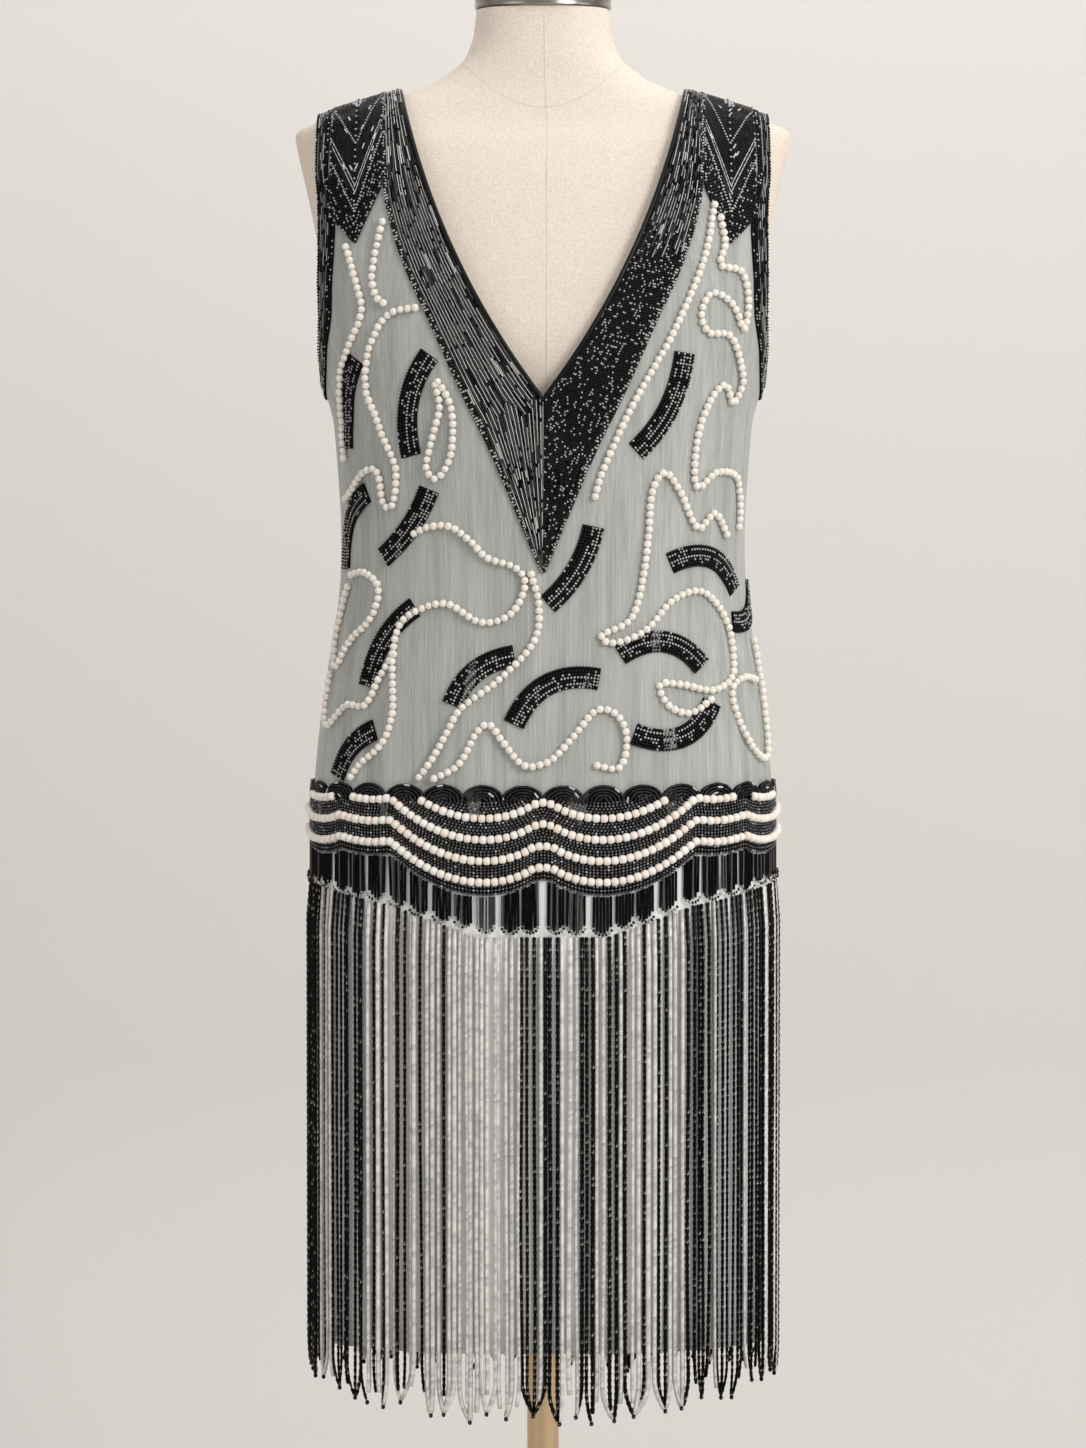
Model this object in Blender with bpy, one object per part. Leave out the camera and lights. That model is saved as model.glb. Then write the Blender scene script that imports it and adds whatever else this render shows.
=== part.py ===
"""Sleeveless drop-waist flapper dress, beaded and fringed, on a limbless dress form.

The dress and the form are walls and solids round one upright axis. A section at a height is a
rounded oval with its own half-width, front depth and back depth. Every cloth panel is a grid of
points on the dress's sections with a thickness, and every beaded piece is made from points on the
same sections, moved further out. +Z is up, the front faces -Y, and the origin is the middle of
the stand's underside. Lengths are metres and bearings are degrees round the axis: 0 is centre
front, 90 the side seam at +X and 180 centre back.
"""
import math

import bpy
import numpy as np

# Stand
BASE_RADIUS = 0.190
BASE_HEIGHT = 0.016
BASE_ROUNDING = 0.004
POLE_RADIUS = 0.0128
GAP = 0.0003
SEAM_HALF_GAP = 0.00015

# Dress form: height, half_width, front, back
FORM_SECTIONS = (
    (0.740, 0.146, 0.088, 0.092),
    (0.760, 0.158, 0.100, 0.104),
    (0.840, 0.170, 0.108, 0.108),
    (0.930, 0.158, 0.104, 0.096),
    (1.020, 0.138, 0.094, 0.080),
    (1.100, 0.144, 0.104, 0.083),
    (1.190, 0.168, 0.115, 0.089),
    (1.240, 0.177, 0.108, 0.090),
    (1.278, 0.180, 0.099, 0.087),
    (1.320, 0.189, 0.087, 0.079),
    (1.350, 0.196, 0.074, 0.070),
    (1.367, 0.199, 0.062, 0.061),
    (1.374, 0.178, 0.059, 0.059),
    (1.394, 0.113, 0.053, 0.055),
    (1.406, 0.084, 0.052, 0.053),
    (1.422, 0.063, 0.052, 0.052),
    (1.440, 0.056, 0.051, 0.051),
    (1.464, 0.053, 0.050, 0.050),
)
FORM_RINGS = 30
FORM_SIDES = 36
CAP_RADIUS = 0.0545
CAP_RIM = 0.020
CAP_CROWN = 0.012
CAP_TILT = math.radians(5.0)

# Dress: height, half_width, front, back
DRESS_SECTIONS = (
    (0.330, 0.182, 0.118, 0.117),
    (0.830, 0.183, 0.119, 0.118),
    (0.887, 0.178, 0.118, 0.114),
    (0.930, 0.172, 0.117, 0.107),
    (0.965, 0.1665, 0.116, 0.101),
    (0.990, 0.1625, 0.116, 0.097),
    (1.012, 0.1605, 0.116, 0.095),
    (1.036, 0.1600, 0.117, 0.095),
    (1.062, 0.1605, 0.119, 0.095),
    (1.098, 0.1630, 0.121, 0.096),
    (1.135, 0.166, 0.123, 0.097),
    (1.153, 0.171, 0.123, 0.097),
    (1.190, 0.182, 0.122, 0.098),
    (1.240, 0.190, 0.116, 0.098),
    (1.278, 0.194, 0.107, 0.095),
    (1.320, 0.200, 0.094, 0.087),
    (1.350, 0.203, 0.080, 0.077),
    (1.366, 0.202, 0.070, 0.069),
    (1.3775, 0.178, 0.0645, 0.0645),
    (1.3965, 0.115, 0.0585, 0.0605),
    (1.4095, 0.086, 0.0575, 0.0585),
    (1.4255, 0.066, 0.0565, 0.0575),
)
ROUNDNESS = 2.4
LEVEL_STEP = 0.002
SMOOTHING_LEVELS = 7
WIDEST_SHOULDER = 1.360

# Layers, measured out from the inner face of the cloth
CLOTH = (0.0, 0.0012)
BEADED = (0.0022, 0.0038)
FRINGE = (0.0017, 0.0033)

# Bodice
HIP_SEAM = 0.800
ARMHOLE_BOTTOM = 1.164
ARMHOLE_HALF_WIDTH = 0.056
ARMHOLE_ROUNDNESS = 2.5
STRAP_INNER = 0.1136
STRAP_OUTER = 0.178
HALF_PANEL_COLUMNS = 9
PLAIN_ROWS = 11
STRAP_ROWS = 12
# Necklines: tip height and the middle point of the curve from the shoulder, as x and height
FRONT_NECK = {"tip": 1.143, "bend_x": 0.084, "bend_z": 1.252}
BACK_NECK = {"tip": 1.290, "bend_x": 0.086, "bend_z": 1.330}

# Outer edge of the neck bands: height, x
FRONT_BAND_EDGE = (
    (1.010, 0.0008),
    (1.101, 0.0400),
    (1.146, 0.0620),
    (1.200, 0.0860),
    (1.246, 0.1065),
    (1.285, 0.1190),
    (1.320, 0.1245),
    (1.396, 0.1255),
)
BACK_BAND_EDGE = (
    (1.232, 0.0008),
    (1.268, 0.0600),
    (1.300, 0.1000),
    (1.335, 0.1200),
    (1.396, 0.1255),
)
NECK_BAND_ROWS = 20

# Shoulder motif: height, middle_x, half_width
MOTIF_SECTIONS = (
    (1.267, 0.1430, 0.0008),
    (1.289, 0.1440, 0.0115),
    (1.305, 0.1450, 0.0170),
    (1.385, 0.1460, 0.0175),
)
MOTIF_ROWS = 10
ARM_BAND_WIDTH = 0.0104

# Hip band: the pointed crests that its swags hang from, as bearing, bottom, sag_to_next
BAND_CRESTS = (
    (0.0, 0.777, 0.022),
    (36.0, 0.7935, 0.003),
    (56.0, 0.7965, 0.003),
    (90.0, 0.802, 0.0),
)
BAND_SKEW = 0.75
BAND_TOP_MIDDLE = 0.837
BAND_TOP_SIDE = 0.841
SCALLOPS = 16
SCALLOP_HEIGHT = 0.009

# Hanging pieces
TABS = 28
TAB_HEADER = 0.004
FRINGE_DROP = 0.0015
# Lower ends of the tabs and of the fringe's points: bearing from the centre, height
TAB_ENDS = (
    (0.0, 0.7300),
    (12.0, 0.7300),
    (25.0, 0.7440),
    (35.0, 0.7535),
    (50.0, 0.7600),
    (65.0, 0.7660),
    (90.0, 0.7720),
)
FRINGE_ENDS = (
    (0.0, 0.3550),
    (18.0, 0.3555),
    (27.0, 0.3610),
    (45.0, 0.3660),
    (62.0, 0.3730),
    (90.0, 0.3810),
)
TAB_DROP = 0.002
UNDERSKIRT_HEM = 0.408
UNDERSKIRT_COLUMNS = 18
FRINGE_POINTS = 30
FRINGE_POINT_DEPTH = 0.016

# Beaded arcs on the bodice: name, bearing and height of each end, bulge to the left of the way
ARC_WIDTH = 0.018
ARC_STEPS = 5
FRONT_ARCS = (
    ("arc_upper_left_side", -51.0, 1.178, -66.0, 1.110, -0.006),
    ("arc_upper_left", -25.0, 1.1785, -34.3, 1.101, -0.0095),
    ("arc_upper_right", 33.3, 1.181, 21.7, 1.104, 0.008),
    ("arc_left_side", -54.5, 1.0745, -72.0, 1.016, -0.012),
    ("arc_middle_left", -28.7, 1.075, -47.0, 1.023, 0.005),
    ("arc_under_neck", 10.5, 1.046, 0.6, 0.986, 0.006),
    ("arc_right_side", 33.5, 1.018, 65.0, 0.998, 0.0158),
    ("arc_lower_left_side", -33.0, 0.984, -48.5, 0.923, -0.008),
    ("arc_lower_left", -5.0, 0.946, -19.3, 0.908, -0.009),
    ("arc_lower_middle", 11.0, 0.928, -4.8, 0.893, -0.015),
    ("arc_right", 16.5, 0.947, 42.3, 0.938, 0.0145),
    ("arc_hip_right", 19.0, 0.886, 45.0, 0.911, -0.016),
    ("arc_hip_left", -43.3, 0.889, -59.5, 0.852, -0.006),
    ("arc_waist_side", 60.5, 0.9735, 86.0, 1.006, -0.012),
)
BACK_ARCS = (
    ("arc_back_upper_left", 212.0, 1.170, 222.0, 1.110, 0.008),
    ("arc_back_upper_right", 150.0, 1.172, 140.0, 1.112, -0.008),
    ("arc_back_middle", 188.0, 1.085, 171.0, 1.050, -0.012),
    ("arc_back_waist_left", 232.0, 1.030, 218.0, 0.985, 0.006),
    ("arc_back_waist_right", 131.0, 1.035, 146.0, 0.990, 0.010),
    ("arc_back_lower_left", 206.0, 0.950, 222.0, 0.900, 0.012),
    ("arc_back_lower_right", 160.0, 0.935, 142.0, 0.890, -0.012),
)

FRONT = -1.0
BACK = 1.0


def clear_scene():
    for thing in list(bpy.data.objects):
        bpy.data.objects.remove(thing, do_unlink=True)


def finish(name, colour, roughness, metallic=0.0):
    """A Principled material of one colour."""
    material = bpy.data.materials.new(name)
    material.use_nodes = True
    shader = material.node_tree.nodes["Principled BSDF"]
    shader.inputs["Base Color"].default_value = (*colour, 1.0)
    shader.inputs["Roughness"].default_value = roughness
    shader.inputs["Metallic"].default_value = metallic
    material.diffuse_color = (*colour, 1.0)
    return material


def add_object(name, points, faces, material, smooth_angle=math.radians(35.0)):
    mesh = bpy.data.meshes.new(name)
    mesh.from_pydata([tuple(p) for p in points], [], faces)
    mesh.materials.append(material)
    mesh.shade_smooth()
    mesh.set_sharp_from_angle(angle=smooth_angle)
    thing = bpy.data.objects.new(name, mesh)
    bpy.context.collection.objects.link(thing)
    return thing


def signed_power(value, power):
    return np.sign(value) * np.abs(value) ** power


class Sections:
    """Rounded ovals at every height, read from a table and smoothed upwards.

    A point of a section obeys (|x| / half_width) ** ROUNDNESS + (|y| / depth) ** ROUNDNESS = 1.
    """

    def __init__(self, table):
        rows = np.array(table)
        self.levels = np.arange(rows[0, 0], rows[-1, 0] + LEVEL_STEP, LEVEL_STEP)
        window = np.hanning(SMOOTHING_LEVELS + 2)[1:-1]
        window /= window.sum()
        side = SMOOTHING_LEVELS // 2
        self.sizes = []
        for column in (1, 2, 3):
            values = np.interp(self.levels, rows[:, 0], rows[:, column])
            values = np.pad(values, side, mode="reflect", reflect_type="odd")
            self.sizes.append(np.convolve(values, window, mode="valid"))

    def read(self, column, height):
        return np.interp(height, self.levels, self.sizes[column])

    def slope(self, column, height):
        return (self.read(column, height + LEVEL_STEP) - self.read(column, height - LEVEL_STEP)) / (2 * LEVEL_STEP)

    def depth(self, height, y):
        return np.where(y > 0, self.read(2, height), self.read(1, height))

    def depth_slope(self, height, y):
        return np.where(y > 0, self.slope(2, height), self.slope(1, height))

    def at_bearing(self, bearing, height):
        """Points at bearings in degrees and heights."""
        turn = np.radians(bearing)
        bearing, height = np.broadcast_arrays(turn, height)
        x = self.read(0, height) * signed_power(np.sin(bearing), 2 / ROUNDNESS)
        y = -signed_power(np.cos(bearing), 2 / ROUNDNESS)
        y = y * self.depth(height, y)
        return np.stack([x, y, height], axis=-1)

    def at_x(self, x, height, face):
        """Points at x and a height, on the front or the back face."""
        x, height = np.broadcast_arrays(x, height)
        share = np.clip(np.abs(x) / self.read(0, height), 0.0, 1.0)
        reach = (1.0 - share ** ROUNDNESS) ** (1 / ROUNDNESS)
        y = face * reach * self.depth(height, face)
        return np.stack([x, y, height], axis=-1)

    def x_at_depth(self, y, height, face):
        share = np.clip(y / self.depth(height, face), 0.0, 1.0)
        return self.read(0, height) * (1.0 - share ** ROUNDNESS) ** (1 / ROUNDNESS)

    def ridge(self, x):
        """Height of the shoulder line over x."""
        slope = self.levels >= WIDEST_SHOULDER
        return np.interp(x, self.sizes[0][slope][::-1], self.levels[slope][::-1])

    def normals(self, points):
        """Unit normals: the slope of the sections' equation at each point."""
        x, y, z = np.moveaxis(points, -1, 0)
        width = self.read(0, z)
        depth = self.depth(z, y)
        across = (np.abs(x) / width) ** ROUNDNESS
        along = (np.abs(y) / depth) ** ROUNDNESS
        normal = np.stack([
            signed_power(x / width, ROUNDNESS - 1) / width,
            signed_power(y / depth, ROUNDNESS - 1) / depth,
            -across * self.slope(0, z) / width - along * self.depth_slope(z, y) / depth,
        ], axis=-1)
        return normal / np.linalg.norm(normal, axis=-1, keepdims=True)

    def settle(self, points):
        """Points pulled onto the sections along their normals, by Newton's steps."""
        for _ in range(4):
            x, y, z = np.moveaxis(points, -1, 0)
            width = self.read(0, z)
            depth = self.depth(z, y)
            across = (np.abs(x) / width) ** ROUNDNESS
            along = (np.abs(y) / depth) ** ROUNDNESS
            slope = np.stack([
                signed_power(x / width, ROUNDNESS - 1) / width,
                signed_power(y / depth, ROUNDNESS - 1) / depth,
                -across * self.slope(0, z) / width - along * self.depth_slope(z, y) / depth,
            ], axis=-1) * ROUNDNESS
            error = across + along - 1.0
            points = points - slope * (error / (slope ** 2).sum(axis=-1))[..., None]
        return points


FORM = Sections(FORM_SECTIONS)
DRESS = Sections(DRESS_SECTIONS)


def grid_faces(indices):
    """Quads of a grid of vertex numbers, with rows going up and columns going round."""
    low_left = indices[:-1, :-1].ravel()
    low_right = indices[:-1, 1:].ravel()
    high_right = indices[1:, 1:].ravel()
    high_left = indices[1:, :-1].ravel()
    quads = np.stack([low_left, low_right, high_right, high_left], axis=-1)
    return [tuple(int(v) for v in quad) for quad in quads]


def rim_faces(faces, count):
    """Quads that join the outer sheet's free edges to the inner sheet, count vertices on."""
    edges = {}
    for face in faces:
        for a, b in zip(face, face[1:] + face[:1]):
            edges[(a, b)] = True
    return [(b, a, a + count, b + count) for a, b in edges if (b, a) not in edges]


def add_wall(name, points, faces, layer, material):
    """A closed wall on the dress: an outer and an inner sheet, layer apart, and their rim."""
    normals = DRESS.normals(points)
    inner, outer = layer
    used = sorted({v for face in faces for v in face})
    new_number = {old: new for new, old in enumerate(used)}
    faces = [tuple(new_number[v] for v in face) for face in faces]
    points = points[used]
    normals = normals[used]
    count = len(used)
    both = np.concatenate([points + normals * outer, points + normals * inner])
    back = [tuple(v + count for v in reversed(face)) for face in faces]
    return add_object(name, both, faces + back + rim_faces(faces, count), material)


def add_grid_wall(name, grid, layer, material):
    rows, columns = grid.shape[:2]
    indices = np.arange(rows * columns).reshape(rows, columns)
    return add_wall(name, grid.reshape(-1, 3), grid_faces(indices), layer, material)


def apart(grid, face):
    """The grid moved half a seam's gap to its own side."""
    return grid + np.array([0.0, face * SEAM_HALF_GAP, 0.0])


def neckline(neck):
    """Samples (x, height) of the curve from the shoulder through its bend to the tip."""
    along = np.linspace(0.0, 1.0, 41)[:, None]
    shoulder = np.array([STRAP_INNER, DRESS.ridge(STRAP_INNER)])
    bend = np.array([neck["bend_x"], neck["bend_z"]])
    tip = np.array([0.0, neck["tip"]])
    return shoulder * (1 - along) ** 2 + bend * 2 * along * (1 - along) + tip * along ** 2


def neck_x(neck, height):
    curve = neckline(neck)[::-1]
    return np.interp(height, curve[:, 1], curve[:, 0])


def armhole_x(height, face):
    """The armhole's edge: an oval in the side view, no further out than the strap."""
    top = DRESS.ridge(STRAP_OUTER)
    middle = (ARMHOLE_BOTTOM + top) / 2
    half = (top - ARMHOLE_BOTTOM) / 2
    share = np.clip(np.abs(height - middle) / half, 0.0, 1.0)
    opening = ARMHOLE_HALF_WIDTH * (1.0 - share ** ARMHOLE_ROUNDNESS) ** (1 / ARMHOLE_ROUNDNESS)
    return np.minimum(DRESS.x_at_depth(opening, height, face), STRAP_OUTER)


def strap_rises(neck):
    """Shares of the way up from the armhole's bottom, closer at both ends, with one at the neck's tip."""
    start = (neck["tip"] - ARMHOLE_BOTTOM) / (DRESS.ridge(STRAP_INNER) - ARMHOLE_BOTTOM)
    start = max(start, 0.0)
    turn = math.acos(1.0 - 2.0 * start) / math.pi
    before = round(STRAP_ROWS * turn)
    steps = np.concatenate([
        np.linspace(0.0, turn, before, endpoint=False),
        np.linspace(turn, 1.0, STRAP_ROWS - before + 1),
    ])
    return (1.0 - np.cos(math.pi * steps)) / 2


def half_panel(neck, face):
    """x and height of half a bodice panel. Columns run from the side to the middle."""
    spread = np.sin(np.linspace(math.pi / 2, 0.0, HALF_PANEL_COLUMNS + 1)) ** (2 / ROUNDNESS)
    plain_top = min(neck["tip"], ARMHOLE_BOTTOM - 0.010)
    plain = np.linspace(HIP_SEAM + SEAM_HALF_GAP, plain_top, PLAIN_ROWS)[:, None]
    plain_x = DRESS.read(0, plain) * spread
    rise = strap_rises(neck)[:, None]
    top_x = STRAP_INNER + (STRAP_OUTER - STRAP_INNER) * spread
    height = ARMHOLE_BOTTOM + (DRESS.ridge(top_x) - ARMHOLE_BOTTOM) * rise
    outer_x = armhole_x(height[:, :1], face)
    outer_x[0] = DRESS.read(0, ARMHOLE_BOTTOM)
    inner_x = neck_x(neck, height[:, -1:])
    strap_x = inner_x + (outer_x - inner_x) * spread
    strap_x[-1] = top_x
    return np.vstack([plain_x, strap_x]), np.vstack([plain + 0 * spread, height])


def add_bodice(name, neck, face, material):
    x, height = half_panel(neck, face)
    half = DRESS.at_x(x, height, face)
    half[-1, :, 1] = 0.0
    half[: PLAIN_ROWS + 1, 0, 1] = 0.0
    flip = np.array([-1.0, 1.0, 1.0])
    near = half * np.array([face, 1.0, 1.0])
    far = (near * flip)[:, ::-1]
    grid = apart(np.concatenate([near, far], axis=1), face)
    rows, columns = grid.shape[:2]
    indices = np.arange(rows * columns).reshape(rows, columns)
    middle = HALF_PANEL_COLUMNS
    joined = x[:, -1] < 1e-6
    indices[joined, middle + 1] = indices[joined, middle]
    faces = grid_faces(indices[:, : middle + 1]) + grid_faces(indices[:, middle + 1:])
    return add_wall(name, grid.reshape(-1, 3), faces, CLOTH, material)


def add_neck_band(name, neck, edge, face, side, material):
    """The beaded band along half a neckline, which meets the other half on the centre line."""
    curve = neckline(neck)
    edge = np.array(edge)
    inner = np.vstack([curve, [0.0, edge[0, 0] + 0.002]])
    outer = edge[::-1][:, ::-1]
    outer = np.vstack([[outer[0, 0], DRESS.ridge(outer[0, 0])], outer[1:]])
    steps = np.linspace(0.0, 1.0, NECK_BAND_ROWS + 1) ** 2
    inner = even_points(inner, steps)
    outer = even_points(outer, steps)
    across = np.linspace(0.0, 1.0, 3)[:, None, None]
    flat = inner + (outer - inner) * across
    x = np.maximum(flat[..., 0], SEAM_HALF_GAP)
    grid = DRESS.at_x(x, flat[..., 1], face)
    grid[:, 0, 1] = 0.0
    grid = apart(grid * np.array([side, 1.0, 1.0]), face)
    return add_oriented(name, grid, BEADED, material)


def even_points(path, shares):
    """Points at even shares of a path's length."""
    lengths = np.concatenate([[0.0], np.cumsum(np.linalg.norm(np.diff(path, axis=0), axis=1))])
    lengths /= lengths[-1]
    return np.stack([np.interp(shares, lengths, path[:, k]) for k in range(path.shape[1])], axis=-1)


def add_oriented(name, grid, layer, material):
    """A grid wall whose outer sheet is turned to face out, whichever way its grid runs."""
    across = grid[0, 1] - grid[0, 0]
    up = grid[1, 0] - grid[0, 0]
    middle = DRESS.normals(grid[0, 0])
    if np.dot(np.cross(across, up), middle) < 0:
        grid = grid[:, ::-1]
    return add_grid_wall(name, grid, layer, material)


def add_shoulder_motif(name, face, side, material):
    table = np.array(MOTIF_SECTIONS)
    rise = np.sin(np.linspace(0.0, math.pi / 2, MOTIF_ROWS + 1))[:, None]
    level = table[0, 0] + (table[-1, 0] - table[0, 0]) * rise
    middle = np.interp(level, table[:, 0], table[:, 1])
    half = np.interp(level, table[:, 0], table[:, 2])
    x = middle + half * np.linspace(-1.0, 1.0, 4)
    height = table[0, 0] + (DRESS.ridge(x[-1]) - table[0, 0]) * rise
    grid = DRESS.at_x(x, height, face)
    grid[-1, :, 1] = 0.0
    grid = apart(grid * np.array([side, 1.0, 1.0]), face)
    return add_oriented(name, grid, BEADED, material)


def add_arm_band(name, neck, face, side, material):
    """A band beside the armhole: its edge, and the edge moved across the cloth."""
    rise = strap_rises(neck)
    top = DRESS.ridge(STRAP_OUTER)
    height = ARMHOLE_BOTTOM + (top - ARMHOLE_BOTTOM) * rise
    x = armhole_x(height, face)
    x[0] = DRESS.read(0, ARMHOLE_BOTTOM)
    x[-1] = STRAP_OUTER
    edge = DRESS.at_x(x, height, face)
    edge[[0, -1], 1] = 0.0
    along = np.gradient(edge, axis=0)
    along[0] = (0.0, face, 0.0)
    along[-1] = (0.0, -face, 0.0)
    across = np.cross(DRESS.normals(edge), along)
    across /= np.linalg.norm(across, axis=-1, keepdims=True)
    across *= np.sign(-across[:, :1] - across[:, 2:] * (np.arange(len(x)) == 0)[:, None])
    inner = DRESS.settle(edge + across * ARM_BAND_WIDTH)
    inner[[0, -1], 1] = 0.0
    grid = np.stack([edge, inner], axis=1)
    grid = apart(grid * np.array([side, 1.0, 1.0]), face)
    return add_oriented(name, grid, BEADED, material)


def even_bearings(count, first, last, height=HIP_SEAM):
    """Bearings of points at equal distances round a section."""
    fine = np.linspace(first, last, 721)
    ring = DRESS.at_bearing(fine, height)
    lengths = np.concatenate([[0.0], np.cumsum(np.linalg.norm(np.diff(ring, axis=0), axis=1))])
    return np.interp(np.linspace(0.0, lengths[-1], count), lengths, fine)


def from_centre(bearing):
    """Bearing away from centre front or centre back, 0 to 90."""
    turn = np.abs((bearing + 180.0) % 360.0 - 180.0)
    return np.minimum(turn, 180.0 - turn)


def band_bottom(bearing):
    """The hip band's lower edge: a parabola hung between each two crests, deeper near the centre."""
    table = np.array(BAND_CRESTS)
    away = np.clip(from_centre(bearing), 0.0, 89.999)
    index = np.searchsorted(table[:, 0], away, side="right") - 1
    first = table[index]
    last = table[index + 1]
    share = (away - first[..., 0]) / (last[..., 0] - first[..., 0])
    line = first[..., 1] + (last[..., 1] - first[..., 1]) * share
    skewed = share ** BAND_SKEW
    return line - first[..., 2] * 4 * skewed * (1 - skewed)


def band_top(bearing, share):
    """The hip band's upper edge: half rounds side by side. share is the place in each."""
    base = BAND_TOP_MIDDLE + (BAND_TOP_SIDE - BAND_TOP_MIDDLE) * from_centre(bearing) / 90.0
    return base + SCALLOP_HEIGHT * np.sqrt(np.clip(1.0 - (2.0 * share - 1.0) ** 2, 0.0, 1.0))


def add_round_wall(name, bearings, bottom, top, rows, face, layer, material):
    share = np.linspace(0.0, 1.0, rows + 1)[:, None]
    height = bottom + (top - bottom) * share
    grid = DRESS.at_bearing(bearings + 0 * height, height)
    grid[:, [0, -1], 1] = 0.0
    return add_grid_wall(name, apart(grid, face), layer, material)


def add_hip_band(name, first, face, material):
    places = np.array([0.0, 0.2, 0.5, 0.8])
    shares = np.concatenate([np.tile(places, SCALLOPS), [0.0]])
    steps = (np.arange(SCALLOPS)[:, None] + places).ravel()
    steps = np.concatenate([steps, [SCALLOPS]]) / SCALLOPS
    even = even_bearings(161, first, first + 180.0)
    bearings = np.interp(steps, np.linspace(0.0, 1.0, 161), even)
    bottom = band_bottom(bearings)
    top = band_top(bearings, shares)
    return add_round_wall(name, bearings, bottom, top, 1, face, BEADED, material)


def read_line(table, bearing):
    """Heights of a line round the dress that is given away from each centre."""
    rows = np.array(table)
    return np.interp(from_centre(bearing), rows[:, 0], rows[:, 1])


def add_tab_row(name, first, face, material):
    """A header tape under the hip band with a row of tabs."""
    places = np.array([0.10, 0.11, 0.89, 0.90])
    is_tab = np.tile([False, True, True, False], TABS)
    steps = (np.arange(TABS)[:, None] + places).ravel() / TABS
    even = even_bearings(161, first, first + 180.0)
    bearings = np.interp(steps, np.linspace(0.0, 1.0, 161), even)
    bearings[0] = first
    bearings[-1] = first + 180.0
    top = band_bottom(bearings) - TAB_DROP
    bottom = np.where(is_tab, read_line(TAB_ENDS, bearings), top - TAB_HEADER)
    return add_round_wall(name, bearings, bottom, top, 1, face, BEADED, material)


def add_underskirt(name, first, face, material):
    bearings = even_bearings(UNDERSKIRT_COLUMNS + 1, first, first + 180.0)
    top = np.full_like(bearings, HIP_SEAM - SEAM_HALF_GAP)
    bottom = np.full_like(bearings, UNDERSKIRT_HEM)
    return add_round_wall(name, bearings, bottom, top, 4, face, CLOTH, material)


def add_fringe(name, first, face, material):
    """The reach of the strands: from just under the tabs to the points that they gather in."""
    bearings = even_bearings(2 * FRINGE_POINTS + 1, first, first + 180.0)
    top = read_line(TAB_ENDS, bearings) - FRINGE_DROP
    low = np.arange(2 * FRINGE_POINTS + 1) % 2 == 1
    bottom = read_line(FRINGE_ENDS, bearings) + np.where(low, 0.0, FRINGE_POINT_DEPTH)
    return add_round_wall(name, bearings, bottom, top, 1, face, FRINGE, material)


def add_arc(name, bearing_a, height_a, bearing_b, height_b, bulge, material):
    """A strip along a parabola between two points of the dress, settled on the dress."""
    start = DRESS.at_bearing(bearing_a, height_a)
    end = DRESS.at_bearing(bearing_b, height_b)
    way = end - start
    left = np.cross(DRESS.normals((start + end) / 2), way)
    left /= np.linalg.norm(left)
    share = np.linspace(0.0, 1.0, ARC_STEPS + 1)[:, None]
    path = DRESS.settle(start + way * share + left * bulge * 4 * share * (1 - share))
    along = np.gradient(path, axis=0)
    side = np.cross(DRESS.normals(path), along)
    side /= np.linalg.norm(side, axis=-1, keepdims=True)
    across = np.array([-0.5, 0.5])[None, :, None]
    grid = DRESS.settle(path[:, None] + side[:, None] * across * ARC_WIDTH)
    return add_oriented(name, grid, BEADED, material)


def add_form(material):
    """The torso and neck: rings at heights closer together round the shoulders."""
    heights = np.concatenate([
        np.linspace(FORM_SECTIONS[0][0], 1.33, FORM_RINGS // 2, endpoint=False),
        np.linspace(1.33, FORM_SECTIONS[-1][0], FORM_RINGS - FORM_RINGS // 2),
    ])
    bearings = np.arange(FORM_SIDES) * 360.0 / FORM_SIDES
    grid = FORM.at_bearing(bearings[None, :], heights[:, None])
    lean = np.clip(heights - 1.422, 0.0, None)
    grid[..., 2] += lean[:, None] * math.tan(CAP_TILT) * grid[..., 1] / 0.042
    indices = np.arange(grid.shape[0] * FORM_SIDES).reshape(grid.shape[0], FORM_SIDES)
    faces = grid_faces(np.hstack([indices, indices[:, :1]]))
    faces.append(tuple(int(v) for v in indices[0][::-1]))
    faces.append(tuple(int(v) for v in indices[-1]))
    return add_object("form_torso", grid.reshape(-1, 3), faces, material, math.radians(50.0))


def add_turned(name, profile, material, sides=48):
    """A turned solid: a profile of (radius, height) from the axis below to the axis above."""
    profile = np.array(profile)
    turn = np.arange(sides) * 2 * math.pi / sides
    rings = profile[1:-1]
    x = rings[:, :1] * np.cos(turn)
    y = rings[:, :1] * np.sin(turn)
    points = np.stack([x, y, rings[:, 1:] + 0 * x], axis=-1).reshape(-1, 3)
    points = np.vstack([points, [0, 0, profile[0, 1]], [0, 0, profile[-1, 1]]])
    indices = np.arange(len(rings) * sides).reshape(len(rings), sides)
    closed = np.hstack([indices, indices[:, :1]])
    faces = grid_faces(closed)
    bottom = len(points) - 2
    faces += [(bottom, int(b), int(a)) for a, b in zip(closed[0], closed[0][1:])]
    faces += [(bottom + 1, int(a), int(b)) for a, b in zip(closed[-1], closed[-1][1:])]
    return add_object(name, points, faces, material)


def quarter_round(radius, height, rounding, steps=4):
    """Profile points of a rounded upper edge, going up and in."""
    turn = np.linspace(0.0, math.pi / 2, steps)
    return [(radius - rounding * (1 - math.cos(t)), height - rounding * (1 - math.sin(t))) for t in turn]


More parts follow.
